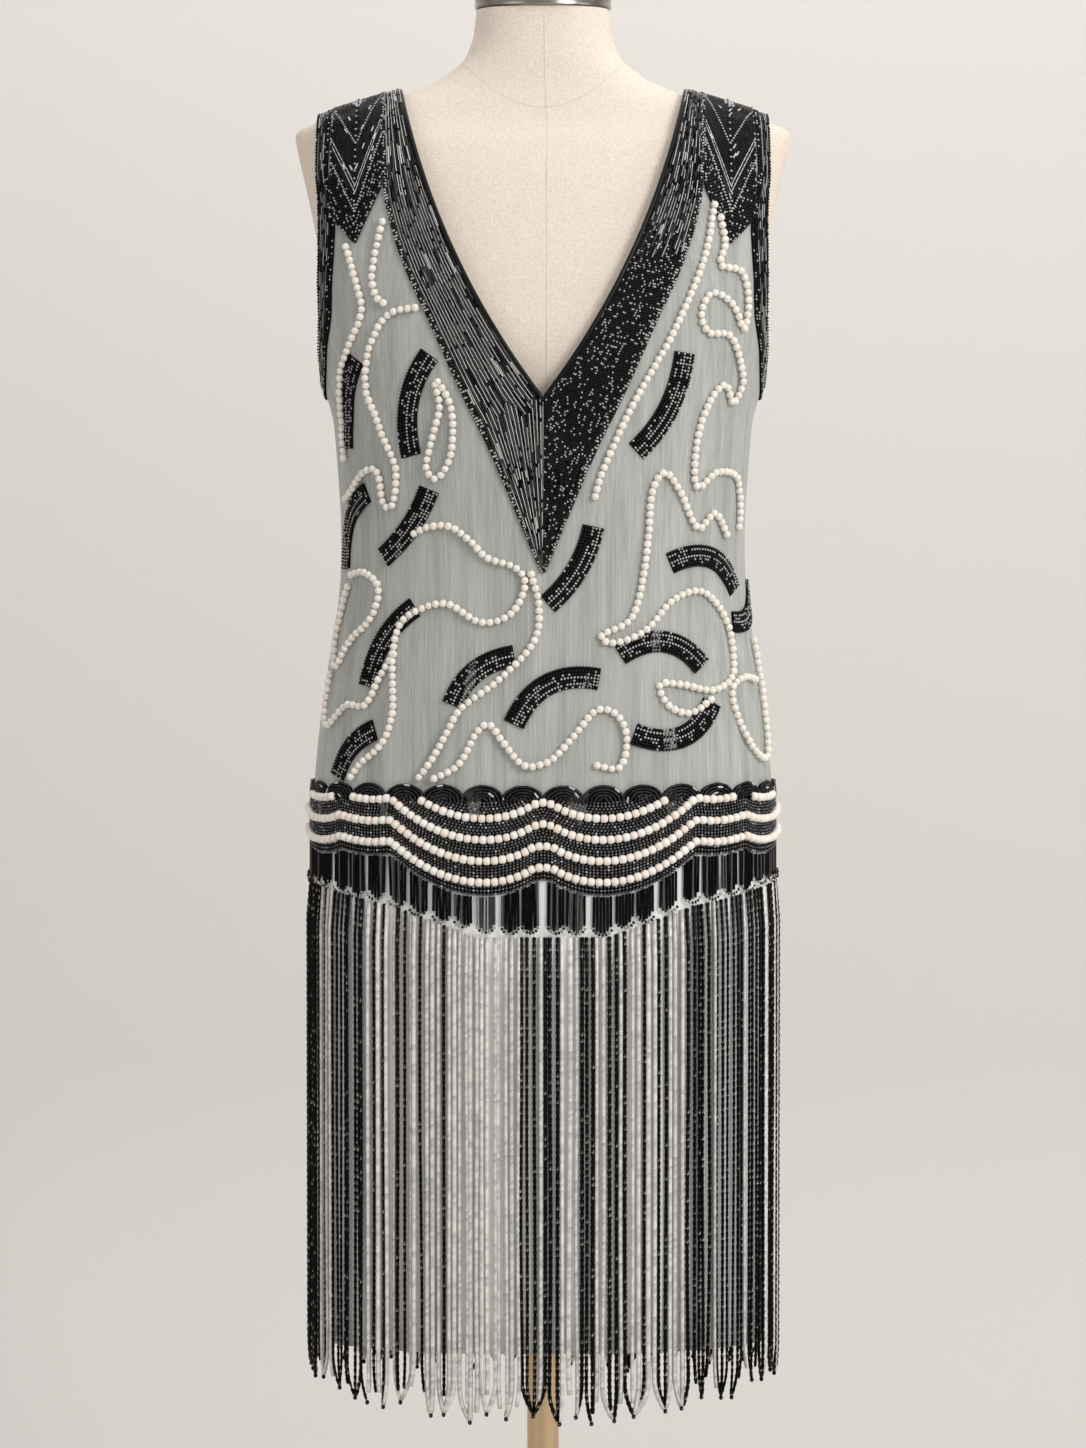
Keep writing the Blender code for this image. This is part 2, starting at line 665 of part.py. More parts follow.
def add_stand(nickel, brass):
    profile = [(0.0, 0.0), (BASE_RADIUS, 0.0)]
    profile += quarter_round(BASE_RADIUS, BASE_HEIGHT, BASE_ROUNDING)
    profile.append((0.0, BASE_HEIGHT))
    add_turned("stand_base", profile, brass)
    low = BASE_HEIGHT + GAP
    high = FORM_SECTIONS[0][0] - GAP
    add_turned("stand_pole", [(0.0, low), (POLE_RADIUS, low), (POLE_RADIUS, high), (0.0, high)], brass, 24)
    cap = [(0.0, 0.0), (CAP_RADIUS, 0.0)]
    cap += quarter_round(CAP_RADIUS, CAP_RIM, 0.003)
    cap += [(CAP_RADIUS * 0.7, CAP_RIM + CAP_CROWN * 0.6), (CAP_RADIUS * 0.35, CAP_RIM + CAP_CROWN * 0.92)]
    cap.append((0.0, CAP_RIM + CAP_CROWN))
    neck_cap = add_turned("neck_cap", cap, nickel, 36)
    neck_cap.location = (0.0, 0.0, FORM_SECTIONS[-1][0] + GAP)
    neck_cap.rotation_euler = (CAP_TILT, 0.0, 0.0)


def build():
    clear_scene()
    chiffon = finish("chiffon", (0.36, 0.39, 0.38), 0.70)
    lining = finish("underskirt_cloth", (0.33, 0.36, 0.35), 0.70)
    silver = finish("bugle_beads", (0.19, 0.18, 0.19), 0.30, 0.5)
    black = finish("black_beads", (0.004, 0.004, 0.004), 0.25)
    striped = finish("striped_beads", (0.30, 0.27, 0.23), 0.35)
    strands = finish("strands", (0.16, 0.16, 0.15), 0.40)
    linen = finish("linen", (0.80, 0.70, 0.56), 0.85)
    nickel = finish("nickel", (0.55, 0.52, 0.48), 0.30, 1.0)
    brass = finish("brass", (0.42, 0.30, 0.17), 0.35, 1.0)
    add_stand(nickel, brass)
    add_form(linen)
    add_bodice("bodice_front", FRONT_NECK, FRONT, chiffon)
    add_bodice("bodice_back", BACK_NECK, BACK, chiffon)
    for side, word in ((-1.0, "left"), (1.0, "right")):
        add_neck_band(f"neck_band_front_{word}", FRONT_NECK, FRONT_BAND_EDGE, FRONT, side, silver)
        add_neck_band(f"neck_band_back_{word}", BACK_NECK, BACK_BAND_EDGE, BACK, side, silver)
        for neck, face, way in ((FRONT_NECK, FRONT, "front"), (BACK_NECK, BACK, "back")):
            add_shoulder_motif(f"shoulder_motif_{way}_{word}", face, side, black)
            add_arm_band(f"armhole_band_{way}_{word}", neck, face, side, silver)
    for first, face, way in ((-90.0, FRONT, "front"), (90.0, BACK, "back")):
        add_hip_band(f"hip_band_{way}", first, face, striped)
        add_tab_row(f"tab_row_{way}", first, face, black)
        add_underskirt(f"underskirt_{way}", first, face, lining)
        add_fringe(f"fringe_{way}", first, face, strands)
    for row in FRONT_ARCS + BACK_ARCS:
        add_arc(*row, black)


build()
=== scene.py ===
"""Looks of a beaded flapper dress on a dress form: chiffon, pearls, jet and silver beads, fringe.

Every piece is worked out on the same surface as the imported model: rounded ovals round an upright
axis, one for every height. Lengths are metres. Bearings are degrees round the axis: 0 is centre
front, 90 the side seam at +X and 180 centre back.
"""
import math

import bpy
import numpy as np
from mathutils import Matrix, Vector


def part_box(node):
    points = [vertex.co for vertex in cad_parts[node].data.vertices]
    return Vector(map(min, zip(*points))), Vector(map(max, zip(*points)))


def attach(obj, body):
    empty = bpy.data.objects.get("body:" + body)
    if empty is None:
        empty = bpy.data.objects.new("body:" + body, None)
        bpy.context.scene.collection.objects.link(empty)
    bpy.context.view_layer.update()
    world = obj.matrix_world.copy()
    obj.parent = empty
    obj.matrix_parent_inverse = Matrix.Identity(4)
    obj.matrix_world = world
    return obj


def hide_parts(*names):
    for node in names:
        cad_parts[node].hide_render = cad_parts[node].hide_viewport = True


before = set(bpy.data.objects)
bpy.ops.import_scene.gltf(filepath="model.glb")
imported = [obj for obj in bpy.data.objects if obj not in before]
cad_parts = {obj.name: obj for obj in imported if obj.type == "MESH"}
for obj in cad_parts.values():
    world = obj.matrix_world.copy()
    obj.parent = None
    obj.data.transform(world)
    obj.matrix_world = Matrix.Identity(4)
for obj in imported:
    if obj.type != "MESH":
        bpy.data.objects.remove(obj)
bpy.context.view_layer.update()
RNG = np.random.default_rng(1926)
MM = 0.001

# Sections of the dress and the form: height, half_width, front, back
DRESS_SECTIONS = (
    (0.330, 0.182, 0.118, 0.117),
    (0.830, 0.183, 0.119, 0.118),
    (0.887, 0.178, 0.118, 0.114),
    (0.930, 0.172, 0.117, 0.107),
    (0.965, 0.1665, 0.116, 0.101),
    (0.990, 0.1625, 0.116, 0.097),
    (1.012, 0.1605, 0.116, 0.095),
    (1.036, 0.1600, 0.117, 0.095),
    (1.062, 0.1605, 0.119, 0.095),
    (1.098, 0.1630, 0.121, 0.096),
    (1.135, 0.166, 0.123, 0.097),
    (1.153, 0.171, 0.123, 0.097),
    (1.190, 0.182, 0.122, 0.098),
    (1.240, 0.190, 0.116, 0.098),
    (1.278, 0.194, 0.107, 0.095),
    (1.320, 0.200, 0.094, 0.087),
    (1.350, 0.203, 0.080, 0.077),
    (1.366, 0.202, 0.070, 0.069),
    (1.3775, 0.178, 0.0645, 0.0645),
    (1.3965, 0.115, 0.0585, 0.0605),
    (1.4095, 0.086, 0.0575, 0.0585),
    (1.4255, 0.066, 0.0565, 0.0575),
)
FORM_SECTIONS = (
    (0.740, 0.146, 0.088, 0.092),
    (0.760, 0.158, 0.100, 0.104),
    (0.840, 0.170, 0.108, 0.108),
    (0.930, 0.158, 0.104, 0.096),
    (1.020, 0.138, 0.094, 0.080),
    (1.100, 0.144, 0.104, 0.083),
    (1.190, 0.168, 0.115, 0.089),
    (1.240, 0.177, 0.108, 0.090),
    (1.278, 0.180, 0.099, 0.087),
    (1.320, 0.189, 0.087, 0.079),
    (1.350, 0.196, 0.074, 0.070),
    (1.367, 0.199, 0.062, 0.061),
    (1.374, 0.178, 0.059, 0.059),
    (1.394, 0.113, 0.053, 0.055),
    (1.406, 0.084, 0.052, 0.053),
    (1.422, 0.063, 0.052, 0.052),
    (1.440, 0.056, 0.051, 0.051),
    (1.464, 0.053, 0.050, 0.050),
)
ROUNDNESS = 2.4
LEVEL_STEP = 0.002
SMOOTHING_LEVELS = 7
WIDEST_SHOULDER = 1.360
SEAM_HALF_GAP = 0.00015
FRONT = -1.0
BACK = 1.0
# Each half of the dress: its name, which way it faces, and the bearing of its first side seam
HALVES = (("front", FRONT, -90.0), ("back", BACK, 90.0))
SIDES = (("left", -1.0), ("right", 1.0))
MIRRORED = np.array([-1.0, 1.0, 1.0])

# Cut of the dress
HIP_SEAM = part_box("underskirt_front")[1].z
UNDERSKIRT_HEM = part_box("underskirt_front")[0].z
ARMHOLE_BOTTOM = 1.164
ARMHOLE_HALF_WIDTH = 0.056
ARMHOLE_ROUNDNESS = 2.5
STRAP_INNER = 0.1136
STRAP_OUTER = 0.178
FRONT_NECK = {"tip": 1.143, "bend_x": 0.084, "bend_z": 1.252}
BACK_NECK = {"tip": 1.290, "bend_x": 0.086, "bend_z": 1.330}
FRONT_BAND_EDGE = (
    (1.010, 0.0008),
    (1.101, 0.0400),
    (1.146, 0.0620),
    (1.200, 0.0860),
    (1.246, 0.1065),
    (1.285, 0.1190),
    (1.320, 0.1245),
    (1.396, 0.1255),
)
BACK_BAND_EDGE = (
    (1.232, 0.0008),
    (1.268, 0.0600),
    (1.300, 0.1000),
    (1.335, 0.1200),
    (1.396, 0.1255),
)
NECKS = {FRONT: (FRONT_NECK, FRONT_BAND_EDGE), BACK: (BACK_NECK, BACK_BAND_EDGE)}
# Crests of the hip band's lower edge: bearing from the centre, height, sag up to the next crest
BAND_CRESTS = (
    (0.0, 0.777, 0.022),
    (36.0, 0.7935, 0.003),
    (56.0, 0.7965, 0.006),
    (90.0, 0.802, 0.0),
)
CREST_SOFTENING = (-1.2, 0.0, 1.2)
BAND_SKEW = 0.75
BAND_TOP_MIDDLE = 0.837
BAND_TOP_SIDE = 0.841
SCALLOPS = 16
SCALLOP_HEIGHT = 0.009
TABS = 28
FRINGE_POINTS = 30
# Lower ends of the tabs and of the fringe's points: bearing from the centre, height
TAB_ENDS = (
    (0.0, 0.7300),
    (12.0, 0.7300),
    (25.0, 0.7440),
    (35.0, 0.7535),
    (50.0, 0.7600),
    (65.0, 0.7660),
    (90.0, 0.7720),
)
FRINGE_ENDS = (
    (0.0, 0.3550),
    (18.0, 0.3555),
    (27.0, 0.3610),
    (45.0, 0.3660),
    (62.0, 0.3730),
    (90.0, 0.3810),
)

# Layers over the inner face of the cloth: from, to
CLOTH = (0.0, 0.9 * MM)
NET = (1.1 * MM, 1.5 * MM)
NET_TOP = NET[1]


# ---------------------------------------------------------------- surface

def signed_power(value, power):
    return np.sign(value) * np.abs(value) ** power


class Sections:
    """Rounded ovals (|x| / half_width) ** ROUNDNESS + (|y| / depth) ** ROUNDNESS = 1, whose sizes
    come from a table, read along straight lines and averaged over SMOOTHING_LEVELS heights."""

    def __init__(self, table):
        rows = np.array(table)
        self.levels = np.arange(rows[0, 0], rows[-1, 0] + LEVEL_STEP, LEVEL_STEP)
        window = np.hanning(SMOOTHING_LEVELS + 2)[1:-1]
        window /= window.sum()
        side = SMOOTHING_LEVELS // 2
        self.sizes = []
        for column in (1, 2, 3):
            values = np.interp(self.levels, rows[:, 0], rows[:, column])
            values = np.pad(values, side, mode="reflect", reflect_type="odd")
            self.sizes.append(np.convolve(values, window, mode="valid"))

    def read(self, column, height):
        return np.interp(height, self.levels, self.sizes[column])

    def slope(self, column, height):
        rise = self.read(column, height + LEVEL_STEP) - self.read(column, height - LEVEL_STEP)
        return rise / (2 * LEVEL_STEP)

    def depth(self, height, y):
        return np.where(y > 0, self.read(2, height), self.read(1, height))

    def depth_slope(self, height, y):
        return np.where(y > 0, self.slope(2, height), self.slope(1, height))

    def at_bearing(self, bearing, height):
        """x = half_width * sin(b) ** (2 / ROUNDNESS) and y = -depth * cos(b) ** (2 / ROUNDNESS)."""
        turn, height = np.broadcast_arrays(np.radians(bearing), height)
        x = self.read(0, height) * signed_power(np.sin(turn), 2 / ROUNDNESS)
        y = -signed_power(np.cos(turn), 2 / ROUNDNESS)
        y = y * self.depth(height, y)
        return np.stack([x, y, height], axis=-1)

    def at_x(self, x, height, face):
        x, height = np.broadcast_arrays(x, height)
        share = np.clip(np.abs(x) / self.read(0, height), 0.0, 1.0)
        reach = (1.0 - share ** ROUNDNESS) ** (1 / ROUNDNESS)
        y = face * reach * self.depth(height, face)
        return np.stack([x, y, height], axis=-1)

    def x_at_depth(self, y, height, face):
        share = np.clip(y / self.depth(height, face), 0.0, 1.0)
        return self.read(0, height) * (1.0 - share ** ROUNDNESS) ** (1 / ROUNDNESS)

    def ridge(self, x):
        """Height of the shoulder line over x."""
        slope = self.levels >= WIDEST_SHOULDER
        return np.interp(x, self.sizes[0][slope][::-1], self.levels[slope][::-1])

    def gradient(self, points):
        """Slope of the sections' equation, and what is left of the equation, at each point."""
        x, y, z = np.moveaxis(points, -1, 0)
        width = self.read(0, z)
        depth = self.depth(z, y)
        across = (np.abs(x) / width) ** ROUNDNESS
        along = (np.abs(y) / depth) ** ROUNDNESS
        slope = ROUNDNESS * np.stack([
            signed_power(x / width, ROUNDNESS - 1) / width,
            signed_power(y / depth, ROUNDNESS - 1) / depth,
            -across * self.slope(0, z) / width - along * self.depth_slope(z, y) / depth,
        ], axis=-1)
        return slope, across + along - 1.0

    def normals(self, points):
        return unit(self.gradient(points)[0])

    def settle(self, points):
        """Points pulled onto the sections along their normals, by Newton's steps."""
        for _ in range(4):
            slope, error = self.gradient(points)
            points = points - slope * (error / (slope ** 2).sum(axis=-1))[..., None]
        return points


def unit(vectors):
    return vectors / np.maximum(np.linalg.norm(vectors, axis=-1, keepdims=True), 1e-12)


FORM = Sections(FORM_SECTIONS)
DRESS = Sections(DRESS_SECTIONS)


def lengths_along(path):
    steps = np.linalg.norm(np.diff(path, axis=0), axis=1)
    return np.concatenate([[0.0], np.cumsum(steps)])


def at_shares(path, shares):
    """Points at shares of a path's length."""
    lengths = lengths_along(path)
    lengths = lengths / lengths[-1]
    return np.stack([np.interp(shares, lengths, path[:, k]) for k in range(path.shape[1])], axis=-1)


def smooth_curve(points, steps=12):
    """A Catmull-Rom curve through the points: a cubic of four neighbours for each stretch."""
    points = np.asarray(points, float)
    before = np.vstack([2 * points[0] - points[1], points[:-1]])[:, None]
    start = points[:, None]
    end = np.vstack([points[1:], 2 * points[-1] - points[-2]])[:, None]
    after = np.vstack([points[2:], 2 * points[-1] - points[-2], points[-1]])[:, None]
    t = np.linspace(0.0, 1.0, steps, endpoint=False)[None, :, None]
    curve = 0.5 * (2 * start + (end - before) * t
                   + (2 * before - 5 * start + 4 * end - after) * t ** 2
                   + (3 * start - before - 3 * end + after) * t ** 3)
    return np.vstack([curve[:-1].reshape(-1, points.shape[1]), points[-1:]])


# ---------------------------------------------------------------- cut lines

def neckline(neck):
    """A quadratic curve (x, height) from the shoulder through its bend to the tip."""
    t = np.linspace(0.0, 1.0, 61)[:, None]
    shoulder = np.array([STRAP_INNER, DRESS.ridge(STRAP_INNER)])
    bend = np.array([neck["bend_x"], neck["bend_z"]])
    tip = np.array([0.0, neck["tip"]])
    return shoulder * (1 - t) ** 2 + bend * 2 * t * (1 - t) + tip * t ** 2


def neck_x(neck, height):
    curve = neckline(neck)[::-1]
    return np.interp(height, curve[:, 1], curve[:, 0])


def armhole_x(height, face):
    """The armhole's edge: an oval in the side view, no further out than the strap."""
    top = DRESS.ridge(STRAP_OUTER)
    middle = (ARMHOLE_BOTTOM + top) / 2
    half = (top - ARMHOLE_BOTTOM) / 2
    share = np.clip(np.abs(height - middle) / half, 0.0, 1.0)
    opening = ARMHOLE_HALF_WIDTH * (1.0 - share ** ARMHOLE_ROUNDNESS) ** (1 / ARMHOLE_ROUNDNESS)
    return np.minimum(DRESS.x_at_depth(opening, height, face), STRAP_OUTER)


def from_centre(bearing):
    """Bearing away from centre front or centre back, 0 to 90."""
    turn = np.abs((bearing + 180.0) % 360.0 - 180.0)
    return np.minimum(turn, 180.0 - turn)


def band_bottom(bearing):
    """The hip band's lower edge: the hung line, with its crests softened over a few degrees."""
    return sum(hung_line(bearing + turn) for turn in CREST_SOFTENING) / len(CREST_SOFTENING)


def hung_line(bearing):
    """A parabola hung between each two crests, deeper near the centre."""
    table = np.array(BAND_CRESTS)
    away = np.clip(from_centre(bearing), 0.0, 89.999)
    index = np.searchsorted(table[:, 0], away, side="right") - 1
    first = table[index]
    last = table[index + 1]
    share = (away - first[..., 0]) / (last[..., 0] - first[..., 0])
    line = first[..., 1] + (last[..., 1] - first[..., 1]) * share
    skewed = share ** BAND_SKEW
    return line - first[..., 2] * 4 * skewed * (1 - skewed)


def band_top_base(bearing):
    return BAND_TOP_MIDDLE + (BAND_TOP_SIDE - BAND_TOP_MIDDLE) * from_centre(bearing) / 90.0


def read_line(table, bearing):
    """Heights of a line round the dress that is given away from each centre."""
    rows = np.array(table)
    return np.interp(from_centre(bearing), rows[:, 0], rows[:, 1])


def even_bearings(shares, first):
    """Bearings at shares of the way round half of the hip, from its first side seam."""
    fine = np.linspace(first, first + 180.0, 721)
    lengths = lengths_along(DRESS.at_bearing(fine, HIP_SEAM))
    return np.interp(np.asarray(shares) * lengths[-1], lengths, fine)


# ---------------------------------------------------------------- meshes

def add_mesh(name, points, quads, tris=None, tone=None):
    """A smooth mesh from arrays of points, quads and triangles, with a value per point if given."""
    mesh = bpy.data.meshes.new(name)
    points = np.asarray(points, np.float32).reshape(-1, 3)
    quads = np.asarray(quads, np.int32).reshape(-1, 4)
    tris = np.empty((0, 3), np.int32) if tris is None else np.asarray(tris, np.int32).reshape(-1, 3)
    loops = np.concatenate([quads.ravel(), tris.ravel()])
    totals = np.concatenate([np.full(len(quads), 4), np.full(len(tris), 3)])
    starts = np.concatenate([[0], np.cumsum(totals)[:-1]])
    mesh.vertices.add(len(points))
    mesh.vertices.foreach_set("co", points.ravel())
    mesh.loops.add(len(loops))
    mesh.loops.foreach_set("vertex_index", loops)
    mesh.polygons.add(len(totals))
    mesh.polygons.foreach_set("loop_start", starts.astype(np.int32))
    mesh.polygons.foreach_set("loop_total", totals.astype(np.int32))
    mesh.update(calc_edges=True)
    mesh.validate()
    mesh.shade_smooth()
    if tone is not None:
        layer = mesh.attributes.new("tone", "FLOAT", "POINT")
        layer.data.foreach_set("value", np.asarray(tone, np.float32).ravel())
    thing = bpy.data.objects.new(name, mesh)
    bpy.context.scene.collection.objects.link(thing)
    return thing


def dress_up(thing, material, replaces=()):
    """Material, body, material slot and the CAD nodes that the piece stands for."""
    thing.data.materials.append(material)
    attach(thing, "root")
    if replaces:
        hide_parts(*replaces)


def grid_quads(indices):
    """Quads of a grid of point numbers, with rows going up and columns going round."""
    corners = [indices[:-1, :-1], indices[:-1, 1:], indices[1:, 1:], indices[1:, :-1]]
    return np.stack([c.ravel() for c in corners], axis=-1)


def number_grid(rows, columns):
    return np.arange(rows * columns).reshape(rows, columns)


def wall_arrays(points, normals, quads, layer):
    """Points and quads of a wall: an outer sheet, an inner one and quads round their free edges."""
    inner, outer = layer
    count = len(points)
    edges = np.concatenate([quads[:, [k, (k + 1) % 4]] for k in range(4)])
    keys = edges[:, 0] * np.int64(count) + edges[:, 1]
    back_keys = edges[:, 1] * np.int64(count) + edges[:, 0]
    free = edges[~np.isin(keys, back_keys)]
    rim = np.stack([free[:, 1], free[:, 0], free[:, 0] + count, free[:, 1] + count], axis=-1)
    both = np.concatenate([points + normals * outer, points + normals * inner])
    return both, np.concatenate([quads, quads[:, ::-1] + count, rim])


def compact(points, quads):
    used = np.unique(quads)
    lookup = np.zeros(len(points), np.int64)
    lookup[used] = np.arange(len(used))
    return used, lookup[quads]


def joined(parts):
    """One set of points and quads from several."""
    offset = 0
    all_points = []
    all_quads = []
    for points, quads in parts:
        all_points.append(points)
        all_quads.append(quads + offset)
        offset += len(points)
    return np.concatenate(all_points), np.concatenate(all_quads)


def strip_wall(grid):
    """A wall of net on a grid of surface points, outer sheet out whichever way the grid runs."""
    rows, columns = grid.shape[:2]
    middle = grid[rows // 2, columns // 2]
    across = middle - grid[rows // 2, columns // 2 - 1]
    up = middle - grid[rows // 2 - 1, columns // 2]
    if np.dot(np.cross(across, up), DRESS.normals(middle)) < 0:
        grid = grid[:, ::-1]
    points = grid.reshape(-1, 3)
    return wall_arrays(points, DRESS.normals(points), grid_quads(number_grid(rows, columns)), NET)


def add_net(name, wall, replaces=()):
    """A wall of black net under beads."""
    dress_up(add_mesh(name, *wall), BLACK_NET, replaces)


def ring_faces(rings, sides):
    """Quads between rings of points, lowest first, and triangles to a pole at each end. The two
    poles are numbered after the rings."""
    numbers = number_grid(rings, sides)
    closed = np.concatenate([numbers, numbers[:, :1]], axis=1)
    low = np.full(sides, rings * sides)
    tris = np.concatenate([
        np.stack([low, closed[0, 1:], closed[0, :-1]], axis=-1),
        np.stack([low + 1, closed[-1, :-1], closed[-1, 1:]], axis=-1),
    ])
    return grid_quads(closed), tris


def tube_arrays(paths, outs, radii, sides):
    """Round tubes along many paths at once. paths and outs are (tube, ring, 3) and radii is
    (tube, ring): a ring's point is path + radius * (cos(a) * out + sin(a) * side)."""
    along = unit(np.gradient(paths, axis=1))
    side = unit(np.cross(along, outs))
    outs = np.cross(side, along)
    turn = np.arange(sides) * 2 * math.pi / sides
    ring = outs[:, :, None] * np.cos(turn)[:, None] + side[:, :, None] * np.sin(turn)[:, None]
    points = paths[:, :, None] + ring * radii[:, :, None, None]
    tubes, rings = paths.shape[:2]
    numbers = np.arange(tubes * rings * sides).reshape(tubes, rings, sides)
    closed = np.concatenate([numbers, numbers[:, :, :1]], axis=2)
    corners = [closed[:, :-1, :-1], closed[:, 1:, :-1], closed[:, 1:, 1:], closed[:, :-1, 1:]]
    quads = np.stack([c.ravel() for c in corners], axis=-1)
    ends = np.concatenate([paths[:, 0], paths[:, -1]])
    first = tubes * rings * sides + np.arange(tubes)[:, None]
    last = first + tubes
    start_ring = closed[:, 0]
    end_ring = closed[:, -1]
    caps = np.concatenate([
        np.stack([first + 0 * start_ring[:, 1:], start_ring[:, :-1], start_ring[:, 1:]], axis=-1),
        np.stack([last + 0 * end_ring[:, 1:], end_ring[:, 1:], end_ring[:, :-1]], axis=-1),
    ])
    return np.concatenate([points.reshape(-1, 3), ends]), quads, caps.reshape(-1, 3)


# ---------------------------------------------------------------- beads

UPRIGHT_REACH = 0.85
WIDEST_SHARE = 0.9


class Bead:
    """A turned bead: rings of points at profile's (place, radius), and a pole at each end. It lies
    along the thread, or stands upright on the cloth. Its crown is the part that faces out, where
    its painted highlight goes."""

    def __init__(self, profile, sides, upright=False):
        profile = np.array(profile)
        turn = math.pi / 2 + np.arange(sides) * 2 * math.pi / sides
        rings = np.stack([
            profile[:, :1] + 0 * turn,
            profile[:, 1:] * np.cos(turn),
            profile[:, 1:] * np.sin(turn),
        ], axis=-1).reshape(-1, 3)
        reach = UPRIGHT_REACH if upright else 0.0
        poles = np.array([[profile[0, 0] - reach, 0.0, 0.0], [profile[-1, 0] + reach, 0.0, 0.0]])
        self.points = np.concatenate([rings, poles])
        # The crown mask is where a bead's tone is painted as a highlight: the pole of an upright
        # bead, or the outward point of its widest rings
        self.crown = np.zeros(len(self.points))
        if upright:
            self.points = self.points[:, [1, 2, 0]]
            self.crown[-1] = 1.0
        else:
            widest = profile[:, 1:] > WIDEST_SHARE
            self.crown[: len(rings)] = (widest & (np.arange(sides) == 0)).ravel()
        self.quads, self.tris = ring_faces(len(profile), sides)


def round_profile(rings):
    turn = np.linspace(-math.pi / 2, math.pi / 2, rings + 2)[1:-1]
    return [(math.sin(t), math.cos(t)) for t in turn]


PEARL = Bead(round_profile(5), 9)
CREAM_BEAD = Bead([(-0.92, 0.66), (-0.50, 0.97), (0.50, 0.97), (0.92, 0.66)], 7)
SEED = Bead([(0.0, 1.0)], 6, upright=True)
BUGLE = Bead([(-1.0, 0.94), (1.0, 0.94)], 5)


class Beading:
    """Collects beads of one shape, and makes them one mesh. A bead's tone is on its crown, as a
    painted highlight, or on all of it, as the bead's own colour."""

    def __init__(self, shape, crowned=True):
        self.shape = shape
        self.mask = shape.crown if crowned else np.ones(len(shape.points))
        self.rows = []

    def add(self, centres, along, out, length, width, tone=0.0):
        count = len(centres)
        size = [np.broadcast_to(length, count), np.broadcast_to(width, count)]
        size = np.stack(size, axis=-1) / 2
        self.rows.append((centres, along, out, size, np.broadcast_to(tone, count)))

    def make(self, name, material, replaces=()):
        """A bead's point is centre + along * a + side * b + out * c, for (a, b, c) of the shape."""
        centres, along, out, size, tone = (np.concatenate(column) for column in zip(*self.rows))
        side = unit(np.cross(out, along))
        out = np.cross(along, side)
        shape = self.shape.points[None]
        points = centres[:, None] + along[:, None] * shape[..., :1] * size[:, None, :1]
        points = points + side[:, None] * shape[..., 1:2] * size[:, None, 1:]
        points = points + out[:, None] * shape[..., 2:] * size[:, None, 1:]
        offset = (np.arange(len(centres)) * len(self.shape.points))[:, None, None]
        quads = (self.shape.quads[None] + offset).reshape(-1, 4)
        tris = (self.shape.tris[None] + offset).reshape(-1, 3)
        thing = add_mesh(name, points, quads, tris, tone[:, None] * self.mask)
        thing.data.set_sharp_from_angle(angle=math.radians(75.0))
        dress_up(thing, material, replaces)


def string_beads(path, pitch):
    """Places on a surface path at an even pitch: base points, tangents and normals."""
    lengths = lengths_along(path)
    count = max(int(lengths[-1] / pitch), 1)
    middles = (np.arange(count) + 0.5) / count
    base = at_shares(path, middles)
    step = 0.2 / count
    along = unit(at_shares(path, middles + step) - at_shares(path, middles - step))
    return base, along, DRESS.normals(base)


def in_mm(*sizes):
    return tuple(size * MM for size in sizes)


# Rows of beads: pitch, length and width
SEEDS = in_mm(2.5, 2.4, 2.5)
SMALL_SEEDS = in_mm(2.5, 2.3, 2.3)


def glint_tones(share, dull=0.10):
    """Tones for jet beads: a share of them get a bright painted highlight on the crown, and the
    others a dull one.
    """
    def tones(count):
        lit = RNG.random(count) < share
        return np.where(lit, RNG.uniform(0.8, 1.0, count), RNG.uniform(0.4, 1.0, count) * dull)
    return tones


def corners_of_the_dress():
    """The front's left and right, then the back's, as way, face, word and side."""
    for way, face, _ in HALVES:
        for word, side in SIDES:
            yield way, face, word, side


def lay_row(beading, path, size, tone=0.0, lift=NET_TOP, wobble=0.06):
    """A row of beads on the dress along a path, each turned and raised a little differently."""
    pitch, length, width = size
    base, along, out = string_beads(path, pitch)
    count = len(base)
    side = np.cross(out, along)
    along = along + side * RNG.normal(0.0, wobble, (count, 1))
    along = unit(along + out * RNG.normal(0.0, wobble / 2, (count, 1)))
    scale = RNG.normal(1.0, 0.03, count)
    height = lift + width / 2 * 0.9 + RNG.uniform(-0.06, 0.06, count) * width
    centres = base + out * height[:, None]
    tone = tone(count) if callable(tone) else tone
    beading.add(centres, along, out, length * scale, width * scale, tone)


SHORT_BLACK = 2.6
SHORTEST_BUGLE = 1.2 * MM
THREAD_GAP = 0.3 * MM


def lay_bugles(beading, path, width, black, lengths, bright, tones=(0.75, 1.0)):
    """A row of bugles of uneven lengths, in mm, a share of them with a bright painted highlight
    along the crown, with short black beads among them."""
    total = lengths_along(path)[-1]
    count = int(total / (lengths[0] * MM)) + 4
    is_black = RNG.random(count) < black
    sizes = np.where(is_black, SHORT_BLACK, RNG.uniform(*lengths, count)) * MM
    ends = np.cumsum(sizes) - RNG.uniform(0.0, lengths[0] * MM)
    starts = np.maximum(ends - sizes, 0.0)
    ends = np.minimum(ends, total)
    keep = ends - starts > SHORTEST_BUGLE
    starts, ends, is_black = starts[keep], ends[keep], is_black[keep]
    middles = (ends + starts) / 2 / total
    base = at_shares(path, middles)
    ahead = at_shares(path, np.minimum(middles + 0.002, 1.0))
    along = unit(ahead - at_shares(path, np.maximum(middles - 0.002, 0.0)))
    out = DRESS.normals(base)
    count = len(base)
    along = unit(along + np.cross(out, along) * RNG.normal(0.0, 0.02, (count, 1)))
    # Painted highlight along each bugle's crown: bright on a share, dim on the rest, none on the
    # black ones
    lit = RNG.random(count) < bright
    tone = np.where(lit, RNG.uniform(*tones, count), RNG.uniform(0.0, 0.15, count))
    tone = np.where(is_black, 0.0, tone)
    girth = np.where(is_black, width * 1.25, width)
    centres = base + out * (NET_TOP + girth[:, None] * 0.45)
    beading.add(centres, along, out, ends - starts - THREAD_GAP, girth, tone)


# ---------------------------------------------------------------- materials

